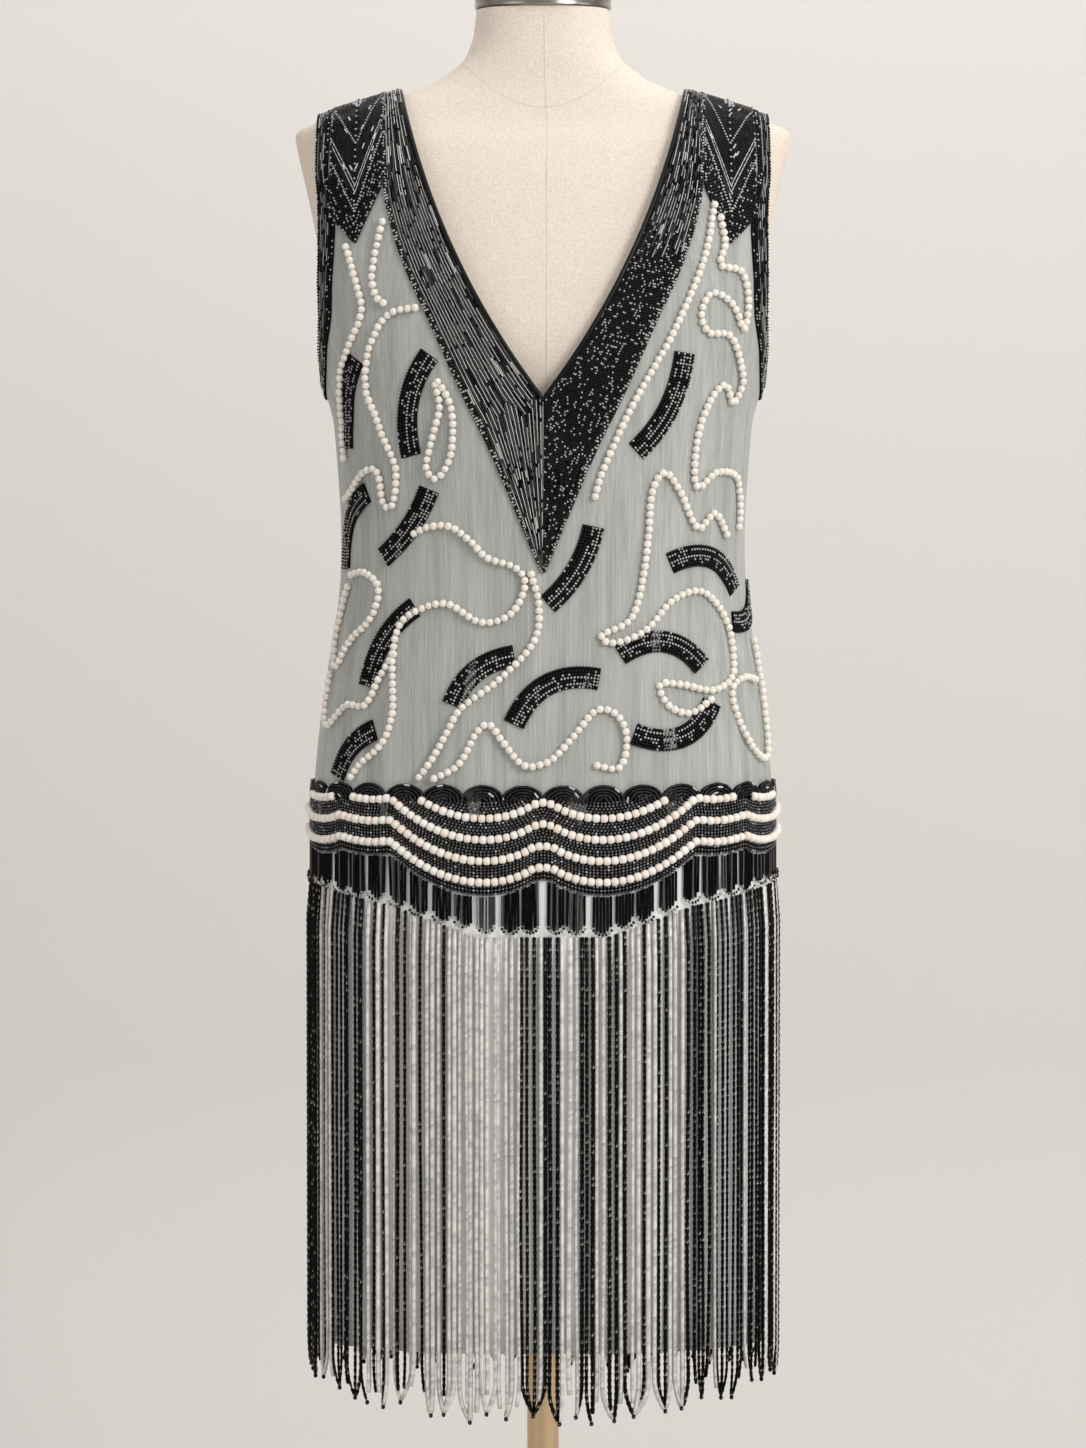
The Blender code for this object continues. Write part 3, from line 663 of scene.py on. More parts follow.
def linear(hex_colour):
    """sRGB hex to linear RGBA."""
    values = [int(hex_colour[k:k + 2], 16) / 255 for k in (1, 3, 5)]
    return tuple(
        v / 12.92 if v <= 0.04045 else ((v + 0.055) / 1.055) ** 2.4 for v in values
    ) + (1.0,)


def node(tree, kind, links=None, **settings):
    """Adds a node with its settings and values. links maps an input to another node's output."""
    new = tree.nodes.new(kind)
    for key, value in settings.items():
        if key.startswith("in_"):
            index = key[3:].replace("_", " ")
            socket = new.inputs[int(index)] if index.isdigit() else new.inputs[index]
            socket.default_value = value
        else:
            setattr(new, key, value)
    for key, output in (links or {}).items():
        tree.links.new(output, new.inputs[key])
    return new


def new_material(name, colour, roughness, metallic=0.0, ior=None):
    material = bpy.data.materials.new(name)
    material.use_nodes = True
    tree = material.node_tree
    shader = tree.nodes["Principled BSDF"]
    shader.inputs["Base Color"].default_value = linear(colour)
    shader.inputs["Roughness"].default_value = roughness
    shader.inputs["Metallic"].default_value = metallic
    if ior:
        shader.inputs["IOR"].default_value = ior
    return material, tree, shader


def stretched_noise(tree, sizes_mm, detail=2.0, seed=0.0):
    """Noise whose grains measure sizes_mm along x, y and z."""
    place = node(tree, "ShaderNodeTexCoord")
    scale = tuple(1000.0 / s for s in sizes_mm)
    moved = node(
        tree, "ShaderNodeMapping", {"Vector": place.outputs["Object"]},
        in_Scale=scale, in_Location=(seed, seed, seed),
    )
    links = {"Vector": moved.outputs["Vector"]}
    return node(tree, "ShaderNodeTexNoise", links, in_Scale=1.0, in_Detail=detail)


def ramp_between(tree, factor, *stops):
    """A colour ramp with two stops of (position, colour)."""
    ramp = node(tree, "ShaderNodeValToRGB", {"Fac": factor})
    for element, (position, colour) in zip(ramp.color_ramp.elements, stops):
        element.position = position
        element.color = linear(colour)
    return ramp.outputs["Color"]


def colour_between(tree, factor, first, second):
    return ramp_between(tree, factor, (0.35, first), (0.65, second))


def add_bump(tree, shader, height, distance_mm, strength=1.0):
    reach = distance_mm * MM
    bump = node(tree, "ShaderNodeBump", {"Height": height}, in_Strength=strength, in_Distance=reach)
    tree.links.new(bump.outputs["Normal"], shader.inputs["Normal"])


def combine(tree, first, second, operation):
    return node(tree, "ShaderNodeMath", {0: first, 1: second}, operation=operation).outputs["Value"]


def chiffon_material(name, dark, light):
    """Silk chiffon, crinkled: fine upright crinkles under 2 mm apart, in a matt grey-green."""
    material, tree, shader = new_material(name, light, 0.72)
    crinkle = stretched_noise(tree, (1.7, 1.7, 60.0), 3.0)
    streak = stretched_noise(tree, (8.0, 8.0, 200.0), 2.0, 4.0)
    mixed = combine(tree, crinkle.outputs["Fac"], streak.outputs["Fac"], "ADD")
    half = node(tree, "ShaderNodeMath", {0: mixed}, operation="MULTIPLY", in_1=0.5)
    colour = colour_between(tree, half.outputs["Value"], dark, light)
    tree.links.new(colour, shader.inputs["Base Color"])
    add_bump(tree, shader, crinkle.outputs["Fac"], 0.9, 0.7)
    shader.inputs["Sheen Weight"].default_value = 0.25
    shader.inputs["Sheen Roughness"].default_value = 0.4
    return material


def toned_glass(name, dark, light, roughness, metallic=0.0, sharpness=1.2, gloss=0.10):
    """Pressed glass beads: dark, with a painted highlight in the light colour on the crown where
    their tone is high, or toned all over between the two as their own colour.
    """
    material, tree, shader = new_material(name, dark, roughness, metallic, 1.52)
    shader.inputs["Specular IOR Level"].default_value = gloss
    tone = node(tree, "ShaderNodeAttribute", attribute_name="tone")
    links = {0: tone.outputs["Fac"]}
    sharp = node(tree, "ShaderNodeMath", links, operation="POWER", in_1=sharpness)
    colour = ramp_between(tree, sharp.outputs["Value"], (0.0, dark), (1.0, light))
    tree.links.new(colour, shader.inputs["Base Color"])
    return material


def pearl_material():
    """Lacquered glass pearls, a little uneven: lumps about 2 mm across."""
    material, tree, shader = new_material("pearl_lacquered", "#FAF3E7", 0.30, 0.0, 1.5)
    lumps = stretched_noise(tree, (2.2, 2.2, 2.2), 1.0)
    colour = colour_between(tree, lumps.outputs["Fac"], "#F1E7D8", "#FFFCF5")
    tree.links.new(colour, shader.inputs["Base Color"])
    add_bump(tree, shader, lumps.outputs["Fac"], 0.5, 0.8)
    return material


def linen_material():
    """Ivory linen stretched on a form: a plain weave, drawn at 1.3 mm a thread so that it shows."""
    material, tree, shader = new_material("linen_ivory", "#ECE0D0", 0.9)
    place = {"Vector": node(tree, "ShaderNodeTexCoord").outputs["Object"]}
    settings = {"in_Scale": 240.0, "in_Distortion": 1.2, "in_Detail": 1.0}
    warp, weft = (
        node(tree, "ShaderNodeTexWave", place, bands_direction=way, **settings).outputs["Fac"]
        for way in ("X", "Z")
    )
    weave = combine(tree, warp, weft, "MULTIPLY")
    grain = stretched_noise(tree, (1.6, 1.6, 1.6), 2.0).outputs["Fac"]
    tree.links.new(colour_between(tree, grain, "#E8DACA", "#F6EBDE"), shader.inputs["Base Color"])
    both = combine(tree, weave, grain, "ADD")
    add_bump(tree, shader, both, 0.3, 0.5)
    return material


def brushed_metal(name, colour, roughness, grain_mm):
    """Plated metal, brushed round: fine rings in the bump."""
    material, tree, shader = new_material(name, colour, roughness, 1.0)
    grain = stretched_noise(tree, grain_mm, 2.0)
    add_bump(tree, shader, grain.outputs["Fac"], 0.05, 0.4)
    return material


def plain_material(name, colour, roughness, gloss=0.5, ior=None):
    material, _, shader = new_material(name, colour, roughness, 0.0, ior)
    shader.inputs["Specular IOR Level"].default_value = gloss
    return material


CHIFFON = chiffon_material("silk_chiffon_crinkled", "#A1A4A0", "#BFC1BD")
CREPE = chiffon_material("silk_crepe_underskirt", "#F2F3F1", "#FFFFFF")
PEARL_LACQUER = pearl_material()
# Jet, silver and strand glass: their light colour is a painted highlight on the beads' crowns and on
# the strands' outer side; the silver strands also take it all round as their own brightness, and the
# cream beads' tone is their own colour
JET = toned_glass("glass_jet_pressed", "#060506", "#FFFEFC", 0.16)
SILVER = toned_glass("glass_silver_lined", "#0C0B0C", "#FFFDFB", 0.20)
STRAND_JET = toned_glass("glass_jet_strung", "#070607", "#FFFDFB", 0.18, sharpness=4.0)
STRAND_SILVER = toned_glass("glass_silver_strung", "#7B797C", "#F8F5EF", 0.26, 0.1, 1.0, 0.5)
CREAM = toned_glass("pearl_cream_woven", "#FCEEE0", "#FFFCF6", 0.42, 0.0, 1.0, 0.4)
BLACK_NET = plain_material("silk_net_black", "#070607", 0.8, 0.1)
BLACK_SATIN = plain_material("satin_piping_black", "#08070A", 0.35, 0.25)
CRYSTAL = plain_material("glass_crystal_cut", "#BFBFC4", 0.12, ior=1.54)
LINEN = linen_material()
SEAM = plain_material("linen_seam_shadow", "#DCD0BD", 0.95)
NICKEL = brushed_metal("nickel_brushed", "#A29C95", 0.26, (40.0, 40.0, 0.4))
BRASS = brushed_metal("brass_satin", "#D9BE97", 0.24, (40.0, 40.0, 0.5))


# ---------------------------------------------------------------- dress form

def ring_surface(name, grid):
    """A closed surface of rings of points, lowest first, with a pole at each end."""
    ends = np.stack([grid[0].mean(axis=0), grid[-1].mean(axis=0)])
    points = np.concatenate([grid.reshape(-1, 3), ends])
    return add_mesh(name, points, *ring_faces(*grid.shape[:2]))


NECK_LEAN = math.radians(5.0)


def lean_neck(points):
    """The neck's top leans with its cap: its height grows towards the back."""
    lean = np.clip(points[..., 2] - 1.422, 0.0, None)
    points = points.copy()
    points[..., 2] += lean * math.tan(NECK_LEAN) * points[..., 1] / 0.042
    return points


def make_form():
    body = np.linspace(0.740, 1.33, 34, endpoint=False)
    heights = np.concatenate([body, np.linspace(1.33, 1.464, 40)])
    bearings = np.arange(112) * 360.0 / 112
    grid = lean_neck(FORM.at_bearing(bearings[None, :], heights[:, None]))
    form = ring_surface("form_linen_cover", grid)
    form.data.set_sharp_from_angle(angle=math.radians(60))
    dress_up(form, LINEN, ["form_torso"])


def make_form_seams():
    """Seams of the cover: down centre front and back, and round the neck's base."""
    heights = np.linspace(0.80, 1.455, 90)
    turn = np.radians(np.linspace(0.0, 360.0, 90))
    across = 0.0655 * signed_power(np.sin(turn), 2 / ROUNDNESS)
    dip = np.where(np.cos(turn) > 0, 0.041, 0.014)
    neck_height = 1.4193 - dip * (1 - (across / 0.0655) ** 2)
    paths = [
        FORM.at_bearing(0.4 + 0 * heights, heights),
        FORM.at_bearing(180.0 + 0 * heights, heights),
        FORM.at_x(across, neck_height, -np.sign(np.cos(turn))),
    ]
    paths = np.stack([lean_neck(p) for p in paths])
    outs = FORM.normals(paths)
    radii = np.full(paths.shape[:2], 0.00035)
    points, quads, caps = tube_arrays(paths - outs * 0.00012, outs, radii, 5)
    seams = add_mesh("form_seams", points, quads, caps)
    dress_up(seams, SEAM)


def turned(name, profile, sides, material, node_name, tilt=0.0, lift=0.0):
    """A turned piece: profile (radius, height) round the axis, tilted about X, then lifted."""
    profile = np.array(profile)
    turn = np.arange(sides) * 2 * math.pi / sides
    x = profile[:, :1] * np.cos(turn)
    y = profile[:, :1] * np.sin(turn)
    z = profile[:, 1:] + 0 * x
    sine, cosine = math.sin(tilt), math.cos(tilt)
    grid = np.stack([x, y * cosine - z * sine, y * sine + z * cosine + lift], axis=-1)
    thing = ring_surface(name, grid)
    thing.data.set_sharp_from_angle(angle=math.radians(40))
    dress_up(thing, material, [node_name])


def rounded(radius, height, rounding, steps=6):
    turn = np.linspace(0.0, math.pi / 2, steps)
    return [
        (radius - rounding * (1 - math.cos(t)), height - rounding * (1 - math.sin(t)))
        for t in turn
    ]


def make_stand():
    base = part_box("stand_base")
    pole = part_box("stand_pole")
    radius = base[1].x
    top = base[1].z
    rim = [(radius - 0.002, 0.0), (radius, 0.002)] + rounded(radius, top, 0.004)
    turned("stand_base_disc", rim + [(radius * 0.2, top)], 96, BRASS, "stand_base")
    radius = pole[1].x
    tube = [(radius, pole[0].z), (radius, pole[1].z)]
    turned("stand_pole_tube", tube, 40, BRASS, "stand_pole")
    neck_top = 1.464 + 0.0003
    lip = [(0.0520, 0.0), (0.0545, 0.001), (0.0545, 0.0045), (0.0537, 0.0055), (0.0545, 0.0065)]
    dome = [(0.046, 0.0235), (0.036, 0.0275), (0.024, 0.0300), (0.011, 0.0315), (0.003, 0.032)]
    cap = lip + rounded(0.0545, 0.020, 0.003) + dome
    turned("neck_cap_plated", cap, 96, NICKEL, "neck_cap", NECK_LEAN, neck_top)


# ---------------------------------------------------------------- cloth

# Soft folds of the bodice: bearing, top, bottom, half_width in mm, depth in mm (minus is a trough)
BODICE_FOLDS = (
    (-46.0, 1.060, 0.835, 7.0, -1.6),
    (-38.0, 1.010, 0.835, 6.0, 1.3),
    (-24.0, 0.990, 0.835, 8.0, -1.8),
    (-14.0, 1.010, 0.835, 6.0, 1.2),
    (-4.0, 0.985, 0.835, 7.0, -1.3),
    (7.0, 0.975, 0.835, 6.0, 1.5),
    (17.0, 1.050, 0.835, 7.0, -1.6),
    (28.0, 1.080, 0.835, 6.0, 1.1),
    (41.0, 1.120, 0.835, 8.0, -1.7),
    (55.0, 1.100, 0.835, 7.0, 1.2),
    (-60.0, 1.220, 1.040, 7.0, -1.2),
    (58.0, 1.250, 1.110, 6.0, -1.2),
    (70.0, 1.080, 0.835, 7.0, -1.6),
    (-72.0, 1.080, 0.835, 7.0, 1.5),
    (112.0, 1.120, 0.835, 8.0, -1.7),
    (128.0, 1.050, 0.835, 7.0, 1.4),
    (147.0, 1.180, 0.835, 8.0, -1.6),
    (163.0, 1.020, 0.835, 7.0, 1.5),
    (176.0, 1.110, 0.835, 8.0, -1.7),
    (192.0, 1.040, 0.835, 6.0, 1.4),
    (207.0, 1.160, 0.835, 8.0, -1.6),
    (224.0, 1.070, 0.835, 7.0, 1.3),
    (246.0, 1.110, 0.835, 8.0, -1.7),
)
# Folds of the underskirt, from its top to its hem: bearing, half_width and depth in mm
SKIRT_TOP = 0.80
SKIRT_BOTTOM = 0.40
SKIRT_FOLDS = (
    (-72.0, 9.0, 1.6),
    (-48.0, 10.0, -1.6),
    (-21.0, 9.0, 1.4),
    (5.0, 10.0, -1.6),
    (26.0, 9.0, 1.5),
    (52.0, 10.0, -1.6),
    (74.0, 9.0, 1.5),
    (110.0, 9.0, -1.6),
    (139.0, 10.0, 1.5),
    (168.0, 9.0, -1.6),
    (197.0, 9.0, 1.4),
    (226.0, 10.0, -1.6),
    (251.0, 9.0, 1.5),
)
METRES_PER_DEGREE = 0.00285


def bearing_of(points):
    """Bearing of surface points, 0 to 360 with centre front at 0."""
    width = DRESS.read(0, points[..., 2])
    depth = DRESS.depth(points[..., 2], points[..., 1])
    sine = signed_power(points[..., 0] / width, ROUNDNESS / 2)
    cosine = signed_power(-points[..., 1] / depth, ROUNDNESS / 2)
    return np.degrees(np.arctan2(sine, cosine))


def whole_skirt(folds):
    return [(bearing, SKIRT_TOP, SKIRT_BOTTOM, width, depth) for bearing, width, depth in folds]


def fold_rise(points, folds):
    """Sum of folds: depth * exp(-(distance / half_width) ** 2), faded in from top to bottom."""
    bearing = bearing_of(points)
    rise = np.zeros(points.shape[:-1])
    for centre, top, bottom, half_width, depth in folds:
        wander = 1.2 * np.sin(points[..., 2] * 31.0 + centre)
        turn = (bearing - centre + wander + 180.0) % 360.0 - 180.0
        near = np.exp(-(turn * METRES_PER_DEGREE / (half_width * MM)) ** 2)
        share = np.clip((top - points[..., 2]) / (top - bottom), 0.0, 1.0)
        fade = np.sin(share * math.pi / 2) ** 1.5
        rise += depth * MM * near * fade
    return rise


def strap_rises(neck, rows):
    """Shares of the way up from the armhole's bottom, closer at both ends, one at the neck's tip."""
    start = (neck["tip"] - ARMHOLE_BOTTOM) / (DRESS.ridge(STRAP_INNER) - ARMHOLE_BOTTOM)
    turn = math.acos(1.0 - 2.0 * max(start, 0.0)) / math.pi
    before = round(rows * turn)
    steps = np.concatenate([
        np.linspace(0.0, turn, before, endpoint=False),
        np.linspace(turn, 1.0, rows - before + 1),
    ])
    return (1.0 - np.cos(math.pi * steps)) / 2


COLUMNS = 58
PLAIN_ROWS = 42
STRAP_ROWS = 34
HELD_STRETCH = 0.05


def make_bodice(way, face):
    """Half a panel is a grid of x and height from side to middle. Both halves share the middle
    points below the neckline's tip."""
    neck = NECKS[face][0]
    spread = np.sin(np.linspace(math.pi / 2, 0.0, COLUMNS + 1)) ** (2 / ROUNDNESS)
    plain_top = min(neck["tip"], ARMHOLE_BOTTOM - 0.010)
    plain = np.linspace(HIP_SEAM + SEAM_HALF_GAP, plain_top, PLAIN_ROWS)[:, None]
    rise = strap_rises(neck, STRAP_ROWS)[:, None]
    top_x = STRAP_INNER + (STRAP_OUTER - STRAP_INNER) * spread
    height = ARMHOLE_BOTTOM + (DRESS.ridge(top_x) - ARMHOLE_BOTTOM) * rise
    outer_x = armhole_x(height[:, :1], face)
    outer_x[0] = DRESS.read(0, ARMHOLE_BOTTOM)
    inner_x = neck_x(neck, height[:, -1:])
    strap_x = inner_x + (outer_x - inner_x) * spread
    strap_x[-1] = top_x
    x = np.vstack([DRESS.read(0, plain) * spread, strap_x])
    z = np.vstack([plain + 0 * spread, height])
    half = DRESS.at_x(x, z, face)
    half[-1, :, 1] = 0.0
    half[: PLAIN_ROWS + 1, 0, 1] = 0.0
    near = half * np.array([face, 1.0, 1.0])
    far = (near * MIRRORED)[:, ::-1]
    grid = np.concatenate([near, far], axis=1)
    indices = number_grid(*grid.shape[:2])
    together = x[:, -1] < 1e-6
    indices[together, COLUMNS + 1] = indices[together, COLUMNS]
    halves = indices[:, : COLUMNS + 1], indices[:, COLUMNS + 1:]
    quads = np.concatenate([grid_quads(part) for part in halves])
    points = grid.reshape(-1, 3)
    normals = DRESS.normals(points)
    held = np.clip((points[:, 2] - HIP_SEAM) / HELD_STRETCH, 0.0, 1.0)
    moved = points + normals * (fold_rise(points, BODICE_FOLDS) * held)[:, None]
    moved[:, 1] += face * SEAM_HALF_GAP
    used, quads = compact(points, quads)
    wall, wall_quads = wall_arrays(moved[used], normals[used], quads, CLOTH)
    panel = add_mesh(f"bodice_{way}_panel", wall, wall_quads)
    dress_up(panel, CHIFFON, [f"bodice_{way}"])


def make_underskirt(way, face, first):
    bearings = even_bearings(np.linspace(0.0, 1.0, 121), first)
    heights = np.linspace(UNDERSKIRT_HEM, HIP_SEAM - 2 * SEAM_HALF_GAP, 12)[:, None]
    grid = DRESS.at_bearing(bearings + 0 * heights, heights)
    grid[:, [0, -1], 1] = 0.0
    points = grid.reshape(-1, 3)
    normals = DRESS.normals(points)
    moved = points + normals * (fold_rise(points, whole_skirt(SKIRT_FOLDS)) - 0.0006)[:, None]
    moved[:, 1] += face * SEAM_HALF_GAP
    quads = grid_quads(number_grid(*grid.shape[:2]))
    panel = add_mesh(f"underskirt_{way}_panel", *wall_arrays(moved, normals, quads, CLOTH))
    dress_up(panel, CREPE, [f"underskirt_{way}"])


# ---------------------------------------------------------------- neck bands

def band_curves(neck, edge):
    """The neck band's inner path (neckline, then centre line) and outer path, as (x, height)."""
    edge = np.array(edge)
    inner = np.vstack([neckline(neck), [0.0, edge[0, 0] + 0.002]])
    outer = smooth_curve(edge[::-1][:, ::-1])
    outer[0, 1] = DRESS.ridge(outer[0, 0])
    return inner, outer


def neck_band_grid(face, side, across, steps):
    """Points between the two paths: inner + (outer - inner) * across, down shares of their
    length."""
    inner, outer = band_curves(*NECKS[face])
    inner = at_shares(inner, steps)
    outer = at_shares(outer, steps)
    flat = inner + (outer - inner) * across[:, None, None]
    x = np.maximum(flat[..., 0], 4 * SEAM_HALF_GAP)
    grid = DRESS.at_x(x, np.minimum(flat[..., 1], DRESS.ridge(x)), face)
    grid[:, 0, 1] = 0.0
    grid[..., 1] += face * SEAM_HALF_GAP
    return grid * np.array([side, 1.0, 1.0])


BAND_ROWS = 33
BAND_STEPS = np.linspace(0.0, 1.0, 201) ** 1.5
EDGE_ROWS = 3
TURN_OVER = 1.268
SHORTEST_PATH = 3
FINE_SEEDS = in_mm(2.2, 2.1, 1.9)
# Where the band is wider than least, up to most, one line in step has bright painted highlights and
# one is black
LINE_STEPS = ((-1.0, 0.015, 8), (0.015, 0.030, 4), (0.030, 1.0, 2))


def stretches(chosen):
    """The unbroken stretches of a row's chosen points, each as point numbers."""
    numbers = np.flatnonzero(chosen)
    return np.split(numbers, np.flatnonzero(np.diff(numbers) > 1) + 1) if len(numbers) else []


def lay_neck_band(face, side, seeds, bugles):
    """Lines of beads that fan out from the strap: more lines where the band is wider. The right
    band is black below the height where it turns over."""
    across = np.linspace(0.04, 0.975, BAND_ROWS)
    grid = neck_band_grid(face, side, across, BAND_STEPS)
    width = np.linalg.norm(grid[-1] - grid[0], axis=-1)
    for number, path in enumerate(grid):
        if number >= BAND_ROWS - EDGE_ROWS:
            # Outer edge rows: jet seeds, a share of them with a bright painted highlight on the
            # crown
            lay_row(seeds, path, SEEDS, glint_tones(0.40), NET_TOP + 0.0004)
            continue
        own_width = width + RNG.uniform(-0.005, 0.005)
        for least, most, step in LINE_STEPS:
            part = (own_width > least) & (own_width <= most)
            if number % (step // 2) or part.sum() < 8:
                continue
            bright = number % step == 0
            if side < 0:
                for points in stretches(part):
                    lay_line(bugles, path[points], bright, 0.92, (9.0, 20.0))
                continue
            upper = part & (path[:, 2] > TURN_OVER + RNG.uniform(-0.016, 0.016))
            for points in stretches(upper):
                lay_line(bugles, path[points], bright, 0.7, (5.0, 9.0))
            for points in stretches(part & ~upper):
                if len(points) > SHORTEST_PATH:
                    lay_row(seeds, path[points], FINE_SEEDS, glint_tones(0.16, 0.05))


def lay_line(bugles, path, bright, share, lengths):
    """A line of thin bugles with a bright painted highlight, or of thicker black ones."""
    if len(path) > SHORTEST_PATH and lengths_along(path)[-1] > 3 * MM:
        width, share = (1.3 * MM, share) if bright else (1.9 * MM, 0.04)
        lay_bugles(bugles, path, width, 0.10, lengths, share)


def make_neck_bands():
    for way, face, word, side in corners_of_the_dress():
        seeds = Beading(SEED)
        bugles = Beading(BUGLE)
        lay_neck_band(face, side, seeds, bugles)
        place = f"{way}_{word}"
        steps = np.linspace(0.0, 1.0, 81) ** 1.5
        net = strip_wall(neck_band_grid(face, side, np.linspace(0.0, 1.0, 9), steps))
        add_net(f"neck_band_net_{place}", net, [f"neck_band_{place}"])
        seeds.make(f"neck_band_seeds_{place}", JET)
        bugles.make(f"neck_band_bugles_{place}", SILVER)


PIPING_RADIUS = 0.0019
# The piping's centre over the dress: heights, and the rise at each
PIPING_RISE = ((1.365, 1.392), (0.0026, 0.0004))


def make_piping():
    """A black rolled edge along the neckline, front and back."""
    paths = []
    for face in (FRONT, BACK):
        curve = at_shares(neckline(NECKS[face][0]), np.linspace(0.0, 1.0, 101) ** 1.4)
        half = DRESS.at_x(np.maximum(curve[:, 0], 0.0), curve[:, 1], face)
        half[0, 1] = 0.0
        paths.append(np.vstack([half, (half * MIRRORED)[::-1][1:]]))
    paths = np.stack(paths)
    outs = DRESS.normals(paths)
    radii = np.full(paths.shape[:2], PIPING_RADIUS)
    rise = np.interp(paths[..., 2], *PIPING_RISE)[..., None]
    piping = add_mesh("neck_piping", *tube_arrays(paths + outs * rise, outs, radii, 8))
    dress_up(piping, BLACK_SATIN)


# ---------------------------------------------------------------- arcs and pearls

ARC_WIDTH = 0.018
# Share of beads with a bright painted highlight in each of an arc's lines
ARC_GLINTS = (0.05, 0.15, 0.35, 0.90, 0.20, 0.90, 0.25)
# Arcs: name, bearing and height of each end, and bulge to the left of the way between them
FRONT_ARCS = (
    ("arc_upper_left_side", -51.0, 1.178, -66.0, 1.110, -0.006),
    ("arc_upper_left", -25.0, 1.1785, -34.3, 1.101, -0.0095),
    ("arc_upper_right", 33.3, 1.181, 21.7, 1.104, 0.008),
    ("arc_left_side", -54.5, 1.0745, -72.0, 1.016, -0.012),
    ("arc_middle_left", -28.7, 1.075, -47.0, 1.023, 0.005),
    ("arc_under_neck", 10.5, 1.046, 0.6, 0.986, 0.006),
    ("arc_right_side", 33.5, 1.018, 65.0, 0.998, 0.0158),
    ("arc_lower_left_side", -33.0, 0.984, -48.5, 0.923, -0.008),
    ("arc_lower_left", -5.0, 0.946, -19.3, 0.908, -0.009),
    ("arc_lower_middle", 11.0, 0.928, -4.8, 0.893, -0.015),
    ("arc_right", 16.5, 0.947, 42.3, 0.938, 0.0145),
    ("arc_hip_right", 19.0, 0.886, 45.0, 0.911, -0.016),
    ("arc_hip_left", -43.3, 0.889, -59.5, 0.852, -0.006),
    ("arc_waist_side", 60.5, 0.9735, 86.0, 1.006, -0.012),
)
BACK_ARCS = (
    ("arc_back_upper_left", 212.0, 1.170, 222.0, 1.110, 0.008),
    ("arc_back_upper_right", 150.0, 1.172, 140.0, 1.112, -0.008),
    ("arc_back_middle", 188.0, 1.085, 171.0, 1.050, -0.012),
    ("arc_back_waist_left", 232.0, 1.030, 218.0, 0.985, 0.006),
    ("arc_back_waist_right", 131.0, 1.035, 146.0, 0.990, 0.010),
    ("arc_back_lower_left", 206.0, 0.950, 222.0, 0.900, 0.012),
    ("arc_back_lower_right", 160.0, 0.935, 142.0, 0.890, -0.012),
)


def arc_grid(bearing_a, height_a, bearing_b, height_b, bulge, across, count=41):
    """Lines beside a parabola between two points of the dress, settled on the dress."""
    start = DRESS.at_bearing(bearing_a, height_a)
    end = DRESS.at_bearing(bearing_b, height_b)
    way = end - start
    left = unit(np.cross(DRESS.normals((start + end) / 2), way))
    share = np.linspace(0.0, 1.0, count)[:, None]
    path = DRESS.settle(start + way * share + left * bulge * 4 * share * (1 - share))
    along = np.gradient(path, axis=0)
    side = unit(np.cross(DRESS.normals(path), along))
    return DRESS.settle(path[None] + side[None] * across[:, None, None] * ARC_WIDTH)


def make_arcs():
    for rows, way in ((FRONT_ARCS, "front"), (BACK_ARCS, "back")):
        seeds = Beading(SEED)
        nets = []
        for _, *place in rows:
            lines = arc_grid(*place, np.linspace(-0.42, 0.42, len(ARC_GLINTS)))
            for line, share in zip(lines, ARC_GLINTS):
                lay_row(seeds, line, SEEDS, glint_tones(share, 0.06), wobble=0.03)
            nets.append(strip_wall(arc_grid(*place, np.linspace(-0.46, 0.46, 5), 21)))
        add_net(f"arc_nets_{way}", joined(nets))
        seeds.make(f"arc_beads_{way}", JET, [row[0] for row in rows])


